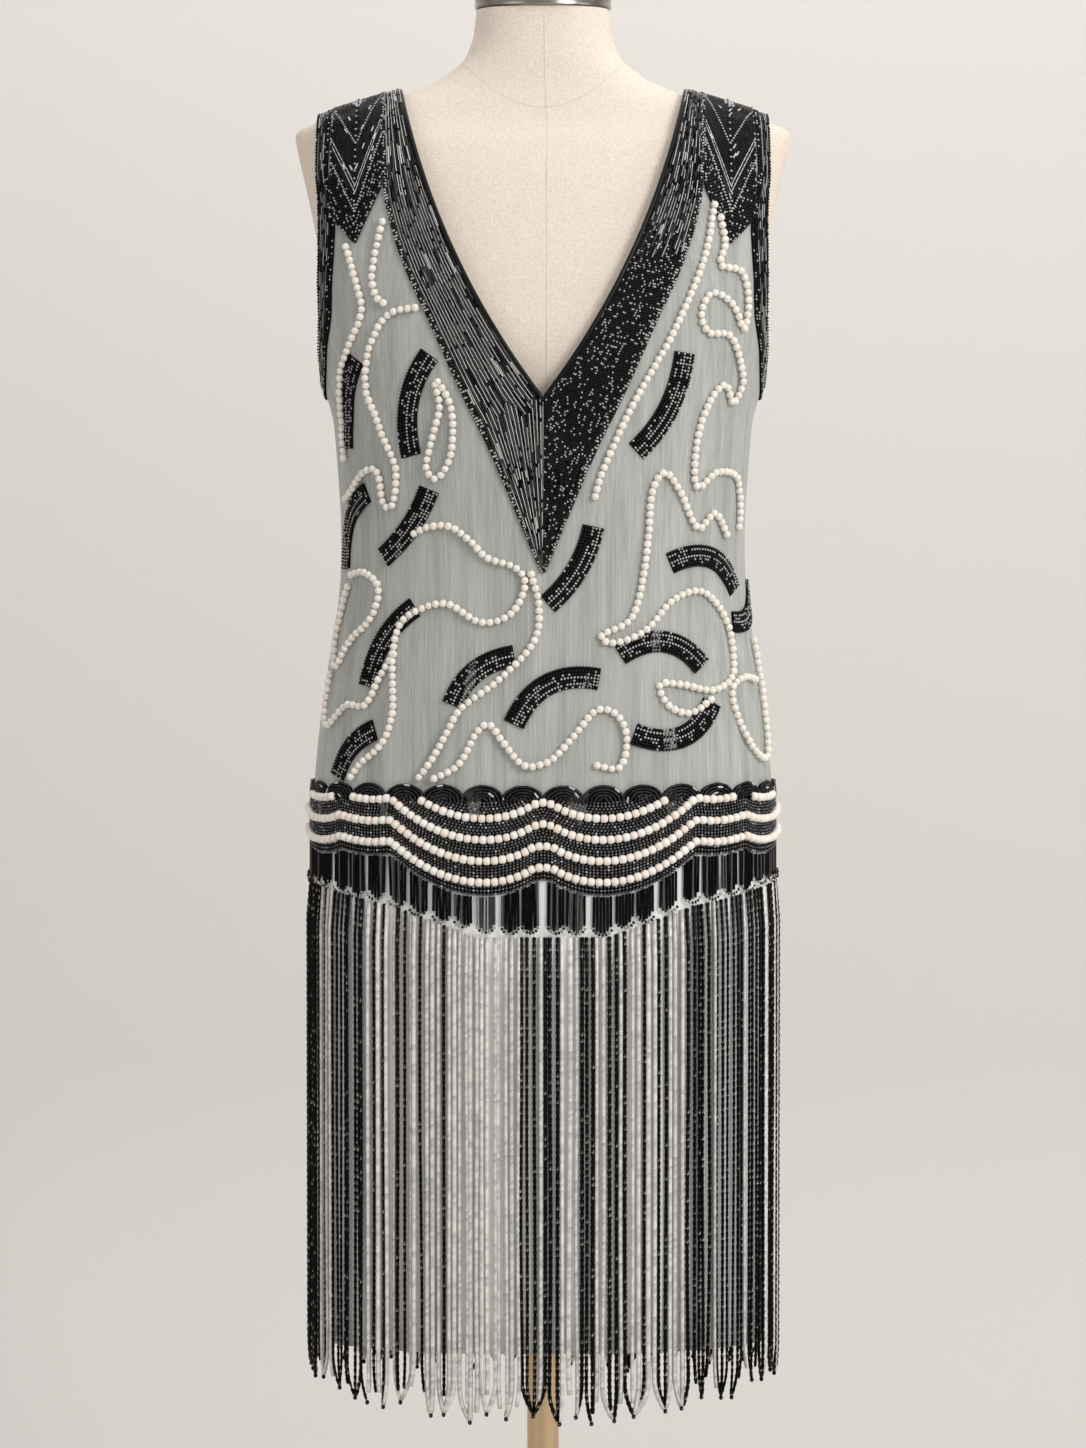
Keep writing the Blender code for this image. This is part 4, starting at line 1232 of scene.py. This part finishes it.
# Strings of pearls: points of each string as (bearing, height), from one end to the other
FRONT_STRINGS = (
    ((-49, 1.268), (-46, 1.238), (-45, 1.214), (-51, 1.192), (-60, 1.168), (-67, 1.135),
     (-68, 1.100)),
    ((-35, 1.286), (-38, 1.262), (-40, 1.238), (-39, 1.224), (-36, 1.218)),
    ((-26.5, 1.215), (-33, 1.213), (-37, 1.208), (-41, 1.196), (-46, 1.176), (-49, 1.150),
     (-45, 1.120), (-40, 1.092), (-42, 1.064),
     (-46, 1.066), (-48, 1.090), (-55, 1.090), (-64, 1.076), (-71, 1.070)),
    ((-24.5, 1.158), (-24, 1.138), (-27, 1.112), (-29, 1.092), (-26, 1.083), (-22, 1.096),
     (-20.5, 1.118), (-21, 1.142), (-24, 1.160)),
    ((-35, 1.040), (-29, 1.046), (-22, 1.046), (-16, 1.034), (-12, 1.022), (-5, 1.014),
     (-3, 1.000), (-6, 0.978),
     (-13, 0.972), (-22, 0.986), (-30, 0.983), (-37, 0.972), (-39, 0.950), (-38, 0.926),
     (-37, 0.900), (-40, 0.878),
     (-48, 0.862), (-52, 0.850)),
    ((-38, 0.950), (-43, 0.930), (-48, 0.908), (-57, 0.908), (-68, 0.892), (-73, 0.905),
     (-72, 0.935)),
    ((-66, 1.010), (-56, 1.012), (-48, 1.000), (-50, 0.976), (-60, 0.958), (-68, 0.938),
     (-72, 0.955), (-70, 0.985), (-66, 1.004)),
    ((-2, 1.012), (-0.5, 0.985), (-1.5, 0.955), (-8, 0.928), (-17, 0.905), (-20, 0.888),
     (-24, 0.866), (-28, 0.850)),
    ((-24, 0.850), (-17, 0.862), (-13, 0.886), (-10, 0.893), (-7, 0.880), (-3, 0.862),
     (0.5, 0.864), (5, 0.884), (10, 0.904),
     (15, 0.900), (17, 0.882), (15, 0.860), (9, 0.862)),
    ((38.5, 1.300), (37, 1.262), (33, 1.226), (28, 1.190), (22, 1.152), (17, 1.120),
     (12.5, 1.088), (10.5, 1.066)),
    ((40.5, 1.290), (43, 1.268), (42, 1.250), (50, 1.246), (54.5, 1.224), (54, 1.202),
     (48, 1.220), (40, 1.228), (37, 1.212),
     (40, 1.197), (48, 1.196), (55, 1.178), (60, 1.160), (57, 1.145), (51, 1.158), (46, 1.146),
     (42, 1.110), (43, 1.078),
     (52, 1.090), (64, 1.088), (69, 1.068), (69, 1.046)),
    ((60, 1.040), (52, 1.058), (44, 1.046), (37, 1.072), (31, 1.088), (27, 1.074), (26, 1.040),
     (24, 1.005), (20, 0.975),
     (12, 0.962), (15, 0.956), (24, 0.966), (34, 0.990), (46, 0.996), (56, 0.972), (56, 0.935),
     (46, 0.920), (34, 0.924),
     (27, 0.924), (29, 0.908), (36, 0.902), (45, 0.914)),
    ((76, 0.962), (78, 0.930), (77, 0.895), (74, 0.868), (64, 0.872), (56, 0.895), (54, 0.920),
     (62, 0.930), (72, 0.928)),
)
BACK_STRINGS = (
    ((152, 1.268), (150, 1.236), (156, 1.205), (163, 1.176), (160, 1.140), (152, 1.118),
     (150, 1.090)),
    ((208, 1.270), (212, 1.238), (205, 1.208), (198, 1.180), (202, 1.150), (212, 1.130),
     (220, 1.100)),
    ((228, 1.250), (232, 1.215), (226, 1.186), (232, 1.160), (242, 1.150), (246, 1.120)),
    ((126, 1.240), (124, 1.205), (130, 1.180), (124, 1.150), (116, 1.135), (113, 1.100)),
    ((176, 1.205), (170, 1.175), (174, 1.140), (184, 1.120), (190, 1.145), (186, 1.180),
     (178, 1.200)),
    ((140, 1.080), (150, 1.066), (160, 1.072), (166, 1.046), (160, 1.015), (168, 0.990),
     (180, 0.985), (188, 1.010), (196, 1.030)),
    ((206, 1.080), (212, 1.055), (206, 1.025), (200, 0.995), (206, 0.965), (198, 0.935),
     (188, 0.925), (182, 0.900), (186, 0.870), (196, 0.855)),
    ((236, 1.080), (244, 1.050), (240, 1.020), (248, 0.990), (254, 0.960), (248, 0.930),
     (240, 0.915), (244, 0.885), (252, 0.860)),
    ((122, 1.010), (114, 0.985), (118, 0.955), (128, 0.945), (134, 0.920), (126, 0.895),
     (118, 0.880), (114, 0.858)),
    ((150, 0.960), (158, 0.968), (168, 0.955), (174, 0.930), (170, 0.900), (160, 0.885),
     (156, 0.862), (166, 0.850), (176, 0.862)),
    ((214, 0.935), (224, 0.945), (234, 0.930), (230, 0.905), (222, 0.880), (212, 0.868),
     (206, 0.852)),
)
PEARL_SIZE = 6.0 * MM
PEARLS = (PEARL_SIZE * 0.96, PEARL_SIZE * 1.02, PEARL_SIZE * 1.02)


def make_pearls():
    for strings, way in ((FRONT_STRINGS, "front"), (BACK_STRINGS, "back")):
        pearls = Beading(PEARL)
        for string in strings:
            flat = smooth_curve(np.array(string, float))
            path = DRESS.at_bearing(flat[:, 0], flat[:, 1])
            lay_row(pearls, path, PEARLS, lift=CLOTH[1], wobble=0.25)
        pearls.make(f"pearl_strings_{way}", PEARL_LACQUER)


# ---------------------------------------------------------------- hip band

STRIPES = 4
STRIPE_SPACING = 16.4 * MM
STRIPE_FIRST = 10.7 * MM
PEARL_STRIPE = 6.9 * MM
PEARL_PITCH = 6.0 * MM
CREAMS = (PEARL_PITCH, PEARL_PITCH * 0.98, PEARL_STRIPE)
SEED_ROW = 2.38 * MM
LOW_ROWS = in_mm(1.4, 4.2, 7.0)
WIDE_SEEDS = in_mm(2.85, 2.6, 2.45)


def clipped_rows(bearings, offset, clearance):
    """Stretches of a row that runs at an offset over the band's lower edge, under its top edge."""
    height = band_bottom(bearings) + offset
    for part in stretches(height < band_top_base(bearings) - clearance):
        if len(part) > SHORTEST_PATH:
            yield DRESS.at_bearing(bearings[part], height[part])


def any_shade(count):
    return RNG.uniform(0.0, 1.0, count)


def lay_hip_rows(first, seeds, creams):
    """Four cream stripes, with rows of black seed beads under, between and over them."""
    bearings = even_bearings(np.linspace(0.0, 1.0, 361), first)
    middles = [STRIPE_FIRST + stripe * STRIPE_SPACING for stripe in range(STRIPES)]
    for middle in middles:
        for path in clipped_rows(bearings, middle, 2.0 * MM):
            lay_row(creams, path, CREAMS, any_shade, NET_TOP - 0.0006, 0.05)
    offsets = list(LOW_ROWS)
    for middle in middles:
        offsets += [middle + PEARL_STRIPE / 2 + SEED_ROW * (k + 0.5) for k in range(4)]
    for offset in offsets:
        for path in clipped_rows(bearings, offset, -1.0 * MM):
            # Seed beads with a dim painted highlight on each crown, a few with a bright one
            lay_row(seeds, path, WIDE_SEEDS, glint_tones(0.07, 0.45), wobble=0.03)


SCALLOP_BUGLES = in_mm(4.4, 4.5, 2.4)


def lay_scallops(first, bugles):
    """Five half rounds of bugles in each scallop, one inside the other."""
    pitch = 1.0 / SCALLOPS
    turn = np.linspace(math.pi * 1.05, -math.pi * 0.05, 25)
    for number in range(SCALLOPS):
        for size in (1.0, 0.80, 0.60, 0.40, 0.20):
            shares = (number + 0.5 + 0.5 * size * np.cos(turn)) * pitch
            bearings = even_bearings(np.clip(shares, 0.0, 1.0), first)
            rise = (SCALLOP_HEIGHT + 0.0025) * size * np.sin(turn)
            path = DRESS.at_bearing(bearings, band_top_base(bearings) - 0.0035 + rise)
            # Jet bugles, a few with a bright painted highlight along the crown
            lay_row(bugles, path, SCALLOP_BUGLES, glint_tones(0.05), NET_TOP + 0.0006)


def band_net(first):
    """Net under the hip band, from its lower edge to the tops of its scallops."""
    shares = np.linspace(0.0, 1.0, 16 * SCALLOPS + 1)
    bearings = even_bearings(shares, first)
    place = (shares * SCALLOPS) % 1.0
    scallop = SCALLOP_HEIGHT * 0.9 * np.sqrt(np.clip(1 - (2 * place - 1) ** 2, 0, 1))
    top = band_top_base(bearings) + scallop
    bottom = band_bottom(bearings) + 0.001
    rise = np.linspace(0.0, 1.0, 7)[:, None]
    return strip_wall(DRESS.at_bearing(bearings + 0 * rise, bottom + (top - bottom) * rise))


def make_hip_bands():
    for way, _, first in HALVES:
        seeds = Beading(SEED)
        bugles = Beading(BUGLE)
        creams = Beading(CREAM_BEAD, crowned=False)
        lay_hip_rows(first, seeds, creams)
        lay_scallops(first, bugles)
        add_net(f"hip_band_net_{way}", band_net(first))
        creams.make(f"hip_band_pearls_{way}", CREAM, [f"hip_band_{way}"])
        seeds.make(f"hip_band_seeds_{way}", JET)
        bugles.make(f"hip_band_scallops_{way}", JET)


# ---------------------------------------------------------------- tabs and fringe

TAB_SHARE = 0.80
TAB_RODS = 6
TAB_ROD_WIDTH = 2.35 * MM
TAB_SEEDS = in_mm(2.4, 2.4, 2.7)
# A pitch longer than any path lays a single bead
SINGLE_PITCH = 1.0


def make_tabs():
    """Each tab is a row of upright bugles with a half round of seed beads under them."""
    curve = 1.0 - np.linspace(-1.0, 1.0, TAB_RODS) ** 2
    turn = np.linspace(math.pi, 2 * math.pi, 15)
    for way, _, first in HALVES:
        rods = Beading(BUGLE)
        seeds = Beading(SEED)
        for number in range(TABS):
            middle = (number + 0.5 + RNG.uniform(-0.08, 0.08)) / TABS
            breadth = TAB_SHARE / TABS * RNG.uniform(0.92, 1.10)
            shares = middle + np.linspace(-0.5, 0.5, TAB_RODS) * breadth * 0.86
            bearings = even_bearings(np.clip(shares, 0, 1), first)
            low = read_line(TAB_ENDS, bearings) + 0.0075 - 0.0045 * curve
            low = low + RNG.uniform(-0.002, 0.002)
            high = band_bottom(bearings) - 0.0005
            # A few tabs' rods get a brighter painted highlight along the crown; most get none or a
            # faint one, and the end seeds a painted highlight on a share of their crowns
            glint = RNG.random() < 0.05
            for bearing, top, end in zip(bearings, high, low):
                path = DRESS.at_bearing(np.full(3, bearing), np.linspace(top, end, 3))
                if glint:
                    tone = RNG.choice([0.15, 0.55])
                else:
                    tone = RNG.choice([0.0, 0.20], p=[0.8, 0.2])
                size = (SINGLE_PITCH, top - end, TAB_ROD_WIDTH)
                lay_row(rods, path, size, float(tone), 0.0012, 0.012)
            around = middle + 0.5 * np.cos(turn) * breadth * 0.92
            bow = even_bearings(np.clip(around, 0, 1), first)
            path = DRESS.at_bearing(bow, low.mean() + 0.0015 + 0.0050 * np.sin(turn))
            lay_row(seeds, path, TAB_SEEDS, glint_tones(0.34), 0.0034)
        rods.make(f"tab_bugles_{way}", JET, [f"tab_row_{way}"])
        seeds.make(f"tab_ends_{way}", JET)


STRANDS = 112
STRAND_BEAD = 5.2 * MM
STRAND_SIDES = 4
GATHER = 0.024
FREE_ENDS = 0.28


def strand_paths(first):
    """Strands hang straight and lean together over their last stretch, a few to each drop. Some
    end free, a little higher."""
    shares = (np.arange(STRANDS) + 0.5 + RNG.uniform(-0.34, 0.34, STRANDS)) / STRANDS
    tips = np.arange(FRINGE_POINTS) + 0.5 + RNG.uniform(-0.30, 0.30, FRINGE_POINTS)
    tips = tips / FRINGE_POINTS
    group = np.abs(shares[:, None] - tips[None]).argmin(axis=1)
    free = RNG.random(STRANDS) < FREE_ENDS
    tip_bearing = even_bearings(tips, first)
    tip_height = read_line(FRINGE_ENDS, tip_bearing) + RNG.uniform(0.001, 0.011, FRINGE_POINTS)
    bearings = even_bearings(shares, first)
    top = read_line(TAB_ENDS, bearings) - 0.0005
    bottom = tip_height[group] + np.where(free, RNG.uniform(0.005, 0.016, STRANDS), 0.0)
    beads = int(round((top - bottom).mean() / STRAND_BEAD))
    place = (np.repeat(np.arange(beads), 2) + np.tile([0.0, 0.24], beads)) / beads
    place = np.append(place, 1.0)[None]
    height = top[:, None] + (bottom - top)[:, None] * place
    close = np.clip(1.0 - (height - bottom[:, None]) / GATHER, 0.0, 1.0) ** 1.9
    close *= np.where(free, 0.25, 0.93)[:, None]
    waves = RNG.uniform(3.0, 8.0, (STRANDS, 1))
    sway = RNG.normal(0.0, 0.0011, (STRANDS, 1))
    sway = sway * np.sin(place * waves + RNG.uniform(0.0, 6.0, (STRANDS, 1)))
    along = shares[:, None] + sway * place + (tips[group] - shares)[:, None] * close
    bearing = even_bearings(np.clip(along, 0.0, 1.0).ravel(), first)
    base = DRESS.at_bearing(bearing.reshape(along.shape), height)
    out = DRESS.normals(base)
    lift = RNG.uniform(0.0032, 0.0048, (STRANDS, 1)) * (1.0 - 0.3 * close)
    lift = lift * np.interp(top[:, None] - height, (0.0, 0.03), (0.45, 1.0))
    return base + out * lift[..., None], out, tip_bearing, tip_height


# Share of silver strands, from the side seams to the middle
SILVER_SHARE = (0.15, 0.56)
# Share of jet strands' joints with a painted highlight
JET_SPARKLE = 0.30


def silver_look(count, joint, facing):
    """Radii and tones of silver strands: each strand has its own brightness, with painted flashes of
    highlight at full strength on its outer side and mixed into the rest.
    """
    radii = RNG.uniform(0.0016, 0.0024, (count, 1)) * np.where(joint, 0.86, 1.0)
    body = RNG.choice([0.45, 0.8, 1.0], (count, 1, 1))
    size = (count, len(joint))
    flash = np.where(joint[None], RNG.uniform(0.5, 1.0, size), RNG.uniform(0.3, 1.0, size))
    flash = flash[..., None]
    return radii, np.where(facing, flash, body * (0.5 + 0.5 * flash))


def jet_look(count, joint, facing):
    """Radii and tones of jet strands: dark, with a painted highlight on the outer side of a share of
    their joints.
    """
    radii = RNG.uniform(0.0014, 0.0020, (count, 1)) * np.where(joint, 0.72, 1.0)
    size = (count, len(joint))
    sparkle = joint[None] & (RNG.random(size) < JET_SPARKLE)
    flash = np.where(sparkle, RNG.uniform(0.7, 1.0, size), 0.03)[..., None]
    return radii, np.where(facing, flash, 0.0)


def make_fringe():
    # The strands' painted highlights go on the side that faces out
    facing = (np.arange(STRAND_SIDES) == 0)[None, None]
    middle = 1.0 - np.abs(np.linspace(-1.0, 1.0, STRANDS)) ** 1.5
    least, most = SILVER_SHARE
    for way, _, first in HALVES:
        paths, outs, tip_bearing, tip_height = strand_paths(first)
        silver = RNG.random(STRANDS) < least + (most - least) * middle
        joint = np.arange(paths.shape[1]) % 2 == 0
        for chosen, word, look, material, replaces in (
            (~silver, "jet", jet_look, STRAND_JET, ()),
            (silver, "silver", silver_look, STRAND_SILVER, [f"fringe_{way}"]),
        ):
            count = int(chosen.sum())
            radii, tone = look(count, joint, facing)
            tubes = tube_arrays(paths[chosen], outs[chosen], radii, STRAND_SIDES)
            tones = np.concatenate([tone.ravel(), np.zeros(2 * count)])
            strands = add_mesh(f"fringe_{word}_{way}", *tubes, tones)
            dress_up(strands, material, replaces)
        drops = Beading(PEARL)
        base = DRESS.at_bearing(tip_bearing, tip_height - 0.0020)
        out = DRESS.normals(base)
        down = np.tile([0.0, 0.0, -1.0], (FRINGE_POINTS, 1))
        # Each drop gets a painted highlight on its crown
        drops.add(base + out * 0.0028, down, out, 4.0 * MM, 3.4 * MM, 0.9)
        drops.make(f"fringe_drops_{way}", STRAND_JET)


# ---------------------------------------------------------------- shoulder motifs and armholes

def strap_profile(x, face, drop):
    """Heights on the dress at distances down from the shoulder line, over x."""
    top = DRESS.ridge(x)
    z = top - (np.linspace(0.0, 1.0, 160) ** 2) * 0.18
    points = DRESS.at_x(np.full_like(z, x), z, face)
    points[0, 1] = 0.0
    return np.interp(drop, lengths_along(points), z)


MOTIF_MIDDLE = 0.1455
MOTIF_HALF = 0.0202
MOTIF_LENGTH = 0.163
MOTIF_STRAIGHT = 0.128
CHEVRON_RISES = (0.036, 0.060)
# Chevrons whose beads all carry a bright painted highlight: dotted with seeds, or lined with silver
# bugles
DOTTED_CHEVRONS = (26, 47)
SILVER_CHEVRONS = (39, 41)
LAST_BUGLES = 45
CHEVRON_SPACING = 2.7 * MM
SILVER_BUGLES = in_mm(4.6, 4.4, 1.5)
MOTIF_BUGLES = in_mm(5.0, 4.8, 2.4)
EDGE_SEEDS = in_mm(2.5, 2.4, 2.4)
SPACED_SEEDS = in_mm(6.0, 2.3, 2.4)
CRYSTALS = 5
CRYSTAL_WIDTH = 2.9 * MM


def motif_point(across, down, face, side):
    """A point of the shoulder motif: across is -1 to 1, down is the distance from the shoulder."""
    x = MOTIF_MIDDLE + MOTIF_HALF * across
    profile_x = np.array([MOTIF_MIDDLE - MOTIF_HALF, MOTIF_MIDDLE, MOTIF_MIDDLE + MOTIF_HALF])
    heights = np.stack([strap_profile(px, face, down) for px in profile_x])
    place = (x - profile_x[0]) / (profile_x[1] - profile_x[0])
    low = np.clip(place.astype(int), 0, 1)
    share = place - low
    index = np.arange(len(down))
    height = heights[low, index] * (1 - share) + heights[low + 1, index] * share
    point = DRESS.at_x(x, height, face)
    point[..., 1] = np.where(down <= 1e-9, 0.0, point[..., 1])
    point[..., 1] += face * SEAM_HALF_GAP
    return point * np.array([side, 1.0, 1.0])


def motif_edge(down):
    """Half the motif's width, as a share: whole down to its straight part, then down to a point."""
    return np.clip((MOTIF_LENGTH - down) / (MOTIF_LENGTH - MOTIF_STRAIGHT), 0.0, 1.0)


def lay_chevron(number, path, seeds, bugles, silver):
    """One side of a chevron, in the beads that its number calls for."""
    lift = NET_TOP + 0.0006
    if number in DOTTED_CHEVRONS:
        lay_row(seeds, path, SMALL_SEEDS, 1.0, lift, 0.02)
    elif number in SILVER_CHEVRONS:
        lay_row(silver, path, SILVER_BUGLES, 0.9, lift, 0.02)
    elif number < LAST_BUGLES:
        lay_row(bugles, path, MOTIF_BUGLES, glint_tones(0.03, 0.04))
    else:
        share = 0.30 if number % 3 == 0 else 0.02
        lay_row(seeds, path, SEEDS, glint_tones(share, 0.04))


def lay_motif(face, side, seeds, bugles, silver):
    """Nested chevrons, steeper further down, two edges, and beads with a bright painted highlight
    down the middle.
    """
    across = np.linspace(-1.0, 1.0, 41)
    for number, tip in enumerate(np.arange(0.012, MOTIF_LENGTH + 0.05, CHEVRON_SPACING)):
        down = tip - np.interp(tip, (0.0, MOTIF_LENGTH), CHEVRON_RISES) * np.abs(across)
        inside = np.abs(across) <= motif_edge(down) + 0.02
        keep = (down > 0.0) & (down < MOTIF_LENGTH) & inside
        for chosen in (keep & (across <= 0), keep & (across >= 0)):
            if chosen.sum() >= 5:
                path = motif_point(across[chosen], down[chosen], face, side)
                lay_chevron(number, path, seeds, bugles, silver)
    edge = np.linspace(0.004, MOTIF_LENGTH - 0.001, 60)
    for row in (-0.96, 0.96):
        path = motif_point(row * motif_edge(edge), edge, face, side)
        lay_row(seeds, path, EDGE_SEEDS, glint_tones(0.30, 0.05), NET_TOP + 0.0008)
    middle = np.linspace(0.006, MOTIF_LENGTH - 0.012, 60)
    path = motif_point(0 * middle, middle, face, side)
    lay_row(seeds, path, SPACED_SEEDS, 1.0, NET_TOP + 0.0018)


def make_motifs():
    for way, face, word, side in corners_of_the_dress():
        seeds = Beading(SEED)
        bugles = Beading(BUGLE)
        silver = Beading(BUGLE)
        lay_motif(face, side, seeds, bugles, silver)
        crystals = Beading(PEARL)
        turn = np.arange(CRYSTALS) * 2 * math.pi / CRYSTALS
        around = motif_point(0.14 * np.cos(turn), 0.037 + 0.0040 * np.sin(turn), face, side)
        out = DRESS.normals(around)
        along = unit(np.cross(out, [0.0, 0.0, 1.0]))
        crystals.add(around + out * 0.0040, along, out, CRYSTAL_WIDTH, CRYSTAL_WIDTH)
        rows = np.linspace(0.0, MOTIF_LENGTH, 40)
        edge = np.maximum(motif_edge(rows), 0.02)
        lines = [motif_point(edge * share, rows, face, side) for share in np.linspace(-1, 1, 7)]
        place = f"{way}_{word}"
        crystals.make(f"motif_crystals_{place}", CRYSTAL)
        net = strip_wall(np.stack(lines, axis=1))
        add_net(f"motif_net_{place}", net, [f"shoulder_motif_{place}"])
        seeds.make(f"motif_seeds_{place}", JET)
        bugles.make(f"motif_jet_{place}", JET)
        silver.make(f"motif_silver_{place}", SILVER)


ARM_BAND_WIDTH = 0.0122
# Lines of the armhole's beading: distance from the edge, and the share of seed beads with a bright
# painted highlight, or None where the line is of bugles
ARM_LINES = tuple(zip(
    in_mm(1.0, 2.7, 4.0, 5.3, 6.6, 7.9, 9.5, 11.5),
    (0.15, None, None, None, None, None, 0.15, 0.35),
))
# How much wider the armhole's beading is than at the strap: height, share
ARM_BAND_SPREAD = (
    (1.164, 0.85),
    (1.185, 1.15),
    (1.215, 1.55),
    (1.280, 1.60),
    (1.305, 1.25),
    (1.325, 1.0),
)


def arm_band_lines(face, side, offsets, count=121):
    """Lines beside the armhole: its edge, moved across the cloth by each offset and settled."""
    share = (1.0 - np.cos(math.pi * np.linspace(0.0, 1.0, count))) / 2
    top = DRESS.ridge(STRAP_OUTER)
    height = ARMHOLE_BOTTOM + (top - ARMHOLE_BOTTOM) * share
    x = armhole_x(height, face)
    x[0] = DRESS.read(0, ARMHOLE_BOTTOM)
    x[-1] = STRAP_OUTER
    edge = DRESS.at_x(x, height, face)
    edge[[0, -1], 1] = 0.0
    along = np.gradient(edge, axis=0)
    along[0] = (0.0, face, 0.0)
    along[-1] = (0.0, -face, 0.0)
    across = unit(np.cross(DRESS.normals(edge), along))
    across *= np.sign(-across[:, :1] - across[:, 2:] * (np.arange(count) == 0)[:, None])
    spread = np.interp(height, *np.array(ARM_BAND_SPREAD).T)
    lines = DRESS.settle(edge[None] + across[None] * (offsets[:, None] * spread)[..., None])
    lines[:, [0, -1], 1] = 0.0
    lines[..., 1] += face * SEAM_HALF_GAP
    return lines * np.array([side, 1.0, 1.0])


def make_arm_bands():
    for way, face, word, side in corners_of_the_dress():
        seeds = Beading(SEED)
        bugles = Beading(BUGLE)
        offsets, shares = zip(*ARM_LINES)
        for line, share in zip(arm_band_lines(face, side, np.array(offsets)), shares):
            if share is None:
                # Silver bugles, most with a painted highlight along the crown
                lay_bugles(bugles, line, 1.4 * MM, 0.20, (6.0, 14.0), 0.65, (0.3, 0.85))
            else:
                lay_row(seeds, line, SMALL_SEEDS, glint_tones(share, 0.06))
        lines = arm_band_lines(face, side, np.linspace(0.0, 1.0, 5) * ARM_BAND_WIDTH)
        place = f"{way}_{word}"
        net = strip_wall(np.moveaxis(lines, 0, 1))
        add_net(f"arm_band_net_{place}", net, [f"armhole_band_{place}"])
        seeds.make(f"arm_band_seeds_{place}", JET)
        bugles.make(f"arm_band_bugles_{place}", SILVER)


# ---------------------------------------------------------------- room, camera and lights

WALL = 1.6
WALL_HEIGHT = 5.0
BEND = 0.5
ROOM_REACH = 16.0


def make_room():
    """A pale floor that curves up into a wall, clear to a camera that stands behind it."""
    turn = np.linspace(0.0, math.pi / 2, 16)
    curve = [
        (WALL - BEND + BEND * math.sin(t), BEND - BEND * math.cos(t)) for t in turn
    ]
    profile = np.array([(-ROOM_REACH, 0.0)] + curve + [(WALL, WALL_HEIGHT)])
    across = np.array([-ROOM_REACH, ROOM_REACH])
    y = profile[:, :1] + 0 * across
    z = profile[:, 1:] + 0 * across
    grid = np.stack([across + 0 * y, y, z], axis=-1)
    room = add_mesh("studio_sweep", grid.reshape(-1, 3), grid_quads(number_grid(*grid.shape[:2])))
    paint, tree, shader = new_material("paint_matt_pale", "#DEDAD6", 0.95)
    back = node(tree, "ShaderNodeNewGeometry").outputs["Backfacing"]
    seen = node(tree, "ShaderNodeLightPath").outputs["Is Camera Ray"]
    clear = node(tree, "ShaderNodeBsdfTransparent").outputs[0]
    parts = {0: combine(tree, back, seen, "MULTIPLY"), 1: shader.outputs[0], 2: clear}
    mixed = node(tree, "ShaderNodeMixShader", parts).outputs[0]
    tree.links.new(mixed, tree.nodes["Material Output"].inputs["Surface"])
    room.data.materials.append(paint)


def add_area(name, place, target, size, power, colour):
    light = bpy.data.lights.new(name, "AREA")
    light.shape = "RECTANGLE"
    light.size, light.size_y = size
    light.energy = power
    light.color = colour
    lamp = bpy.data.objects.new(name, light)
    bpy.context.scene.collection.objects.link(lamp)
    lamp.location = place
    way = np.array(target) - np.array(place)
    lamp.rotation_euler = Vector(way).to_track_quat("-Z", "Y").to_euler()


CAMERA_DISTANCE = 3.2
CAMERA_HEIGHT = 0.8936
FRAME_HEIGHT = 1.1584
SENSOR_WIDTH = 36.0
# Area lights: name, place, target, size, power and colour
LIGHTS = (
    ("key_window", (2.2, -2.6, 2.3), (0.0, 0.0, 1.0), (1.3, 1.3), 56.0, (1.0, 0.985, 0.96)),
    ("window_right", (3.0, -0.9, 1.3), (0.0, 0.0, 1.1), (0.9, 1.6), 9.0, (0.93, 0.97, 1.0)),
    ("fill_left", (-2.6, -2.2, 1.5), (0.0, 0.0, 0.9), (1.8, 2.2), 11.0, (1.0, 1.0, 1.0)),
    ("top_soft", (0.5, -0.8, 3.2), (0.0, 0.0, 1.0), (2.4, 1.6), 13.0, (1.0, 1.0, 1.0)),
    ("wall_wash", (0.0, 0.4, 2.9), (0.0, 1.6, 1.0), (3.0, 0.6), 18.0, (1.0, 1.0, 1.0)),
)


def make_studio():
    make_room()
    world = bpy.data.worlds.new("soft_daylight")
    world.use_nodes = True
    sky = world.node_tree.nodes["Background"].inputs
    sky["Color"].default_value = (1.0, 0.985, 0.97, 1.0)
    sky["Strength"].default_value = 0.42
    bpy.context.scene.world = world
    for light in LIGHTS:
        add_area(*light)
    lens = bpy.data.cameras.new("camera")
    lens.sensor_width = SENSOR_WIDTH
    lens.lens = SENSOR_WIDTH * CAMERA_DISTANCE / FRAME_HEIGHT
    camera = bpy.data.objects.new("camera", lens)
    bpy.context.scene.collection.objects.link(camera)
    camera.location = (0.0, -CAMERA_DISTANCE, CAMERA_HEIGHT)
    camera.rotation_euler = (math.pi / 2, 0.0, 0.0)
    bpy.context.scene.camera = camera
    bpy.context.scene.view_settings.view_transform = "Standard"


make_studio()
make_form()
make_form_seams()
make_stand()
for half, facing_way, _ in HALVES:
    make_bodice(half, facing_way)
for half, facing_way, first_bearing in HALVES:
    make_underskirt(half, facing_way, first_bearing)
make_neck_bands()
make_piping()
make_motifs()
make_arm_bands()
make_arcs()
make_pearls()
make_hip_bands()
make_tabs()
make_fringe()
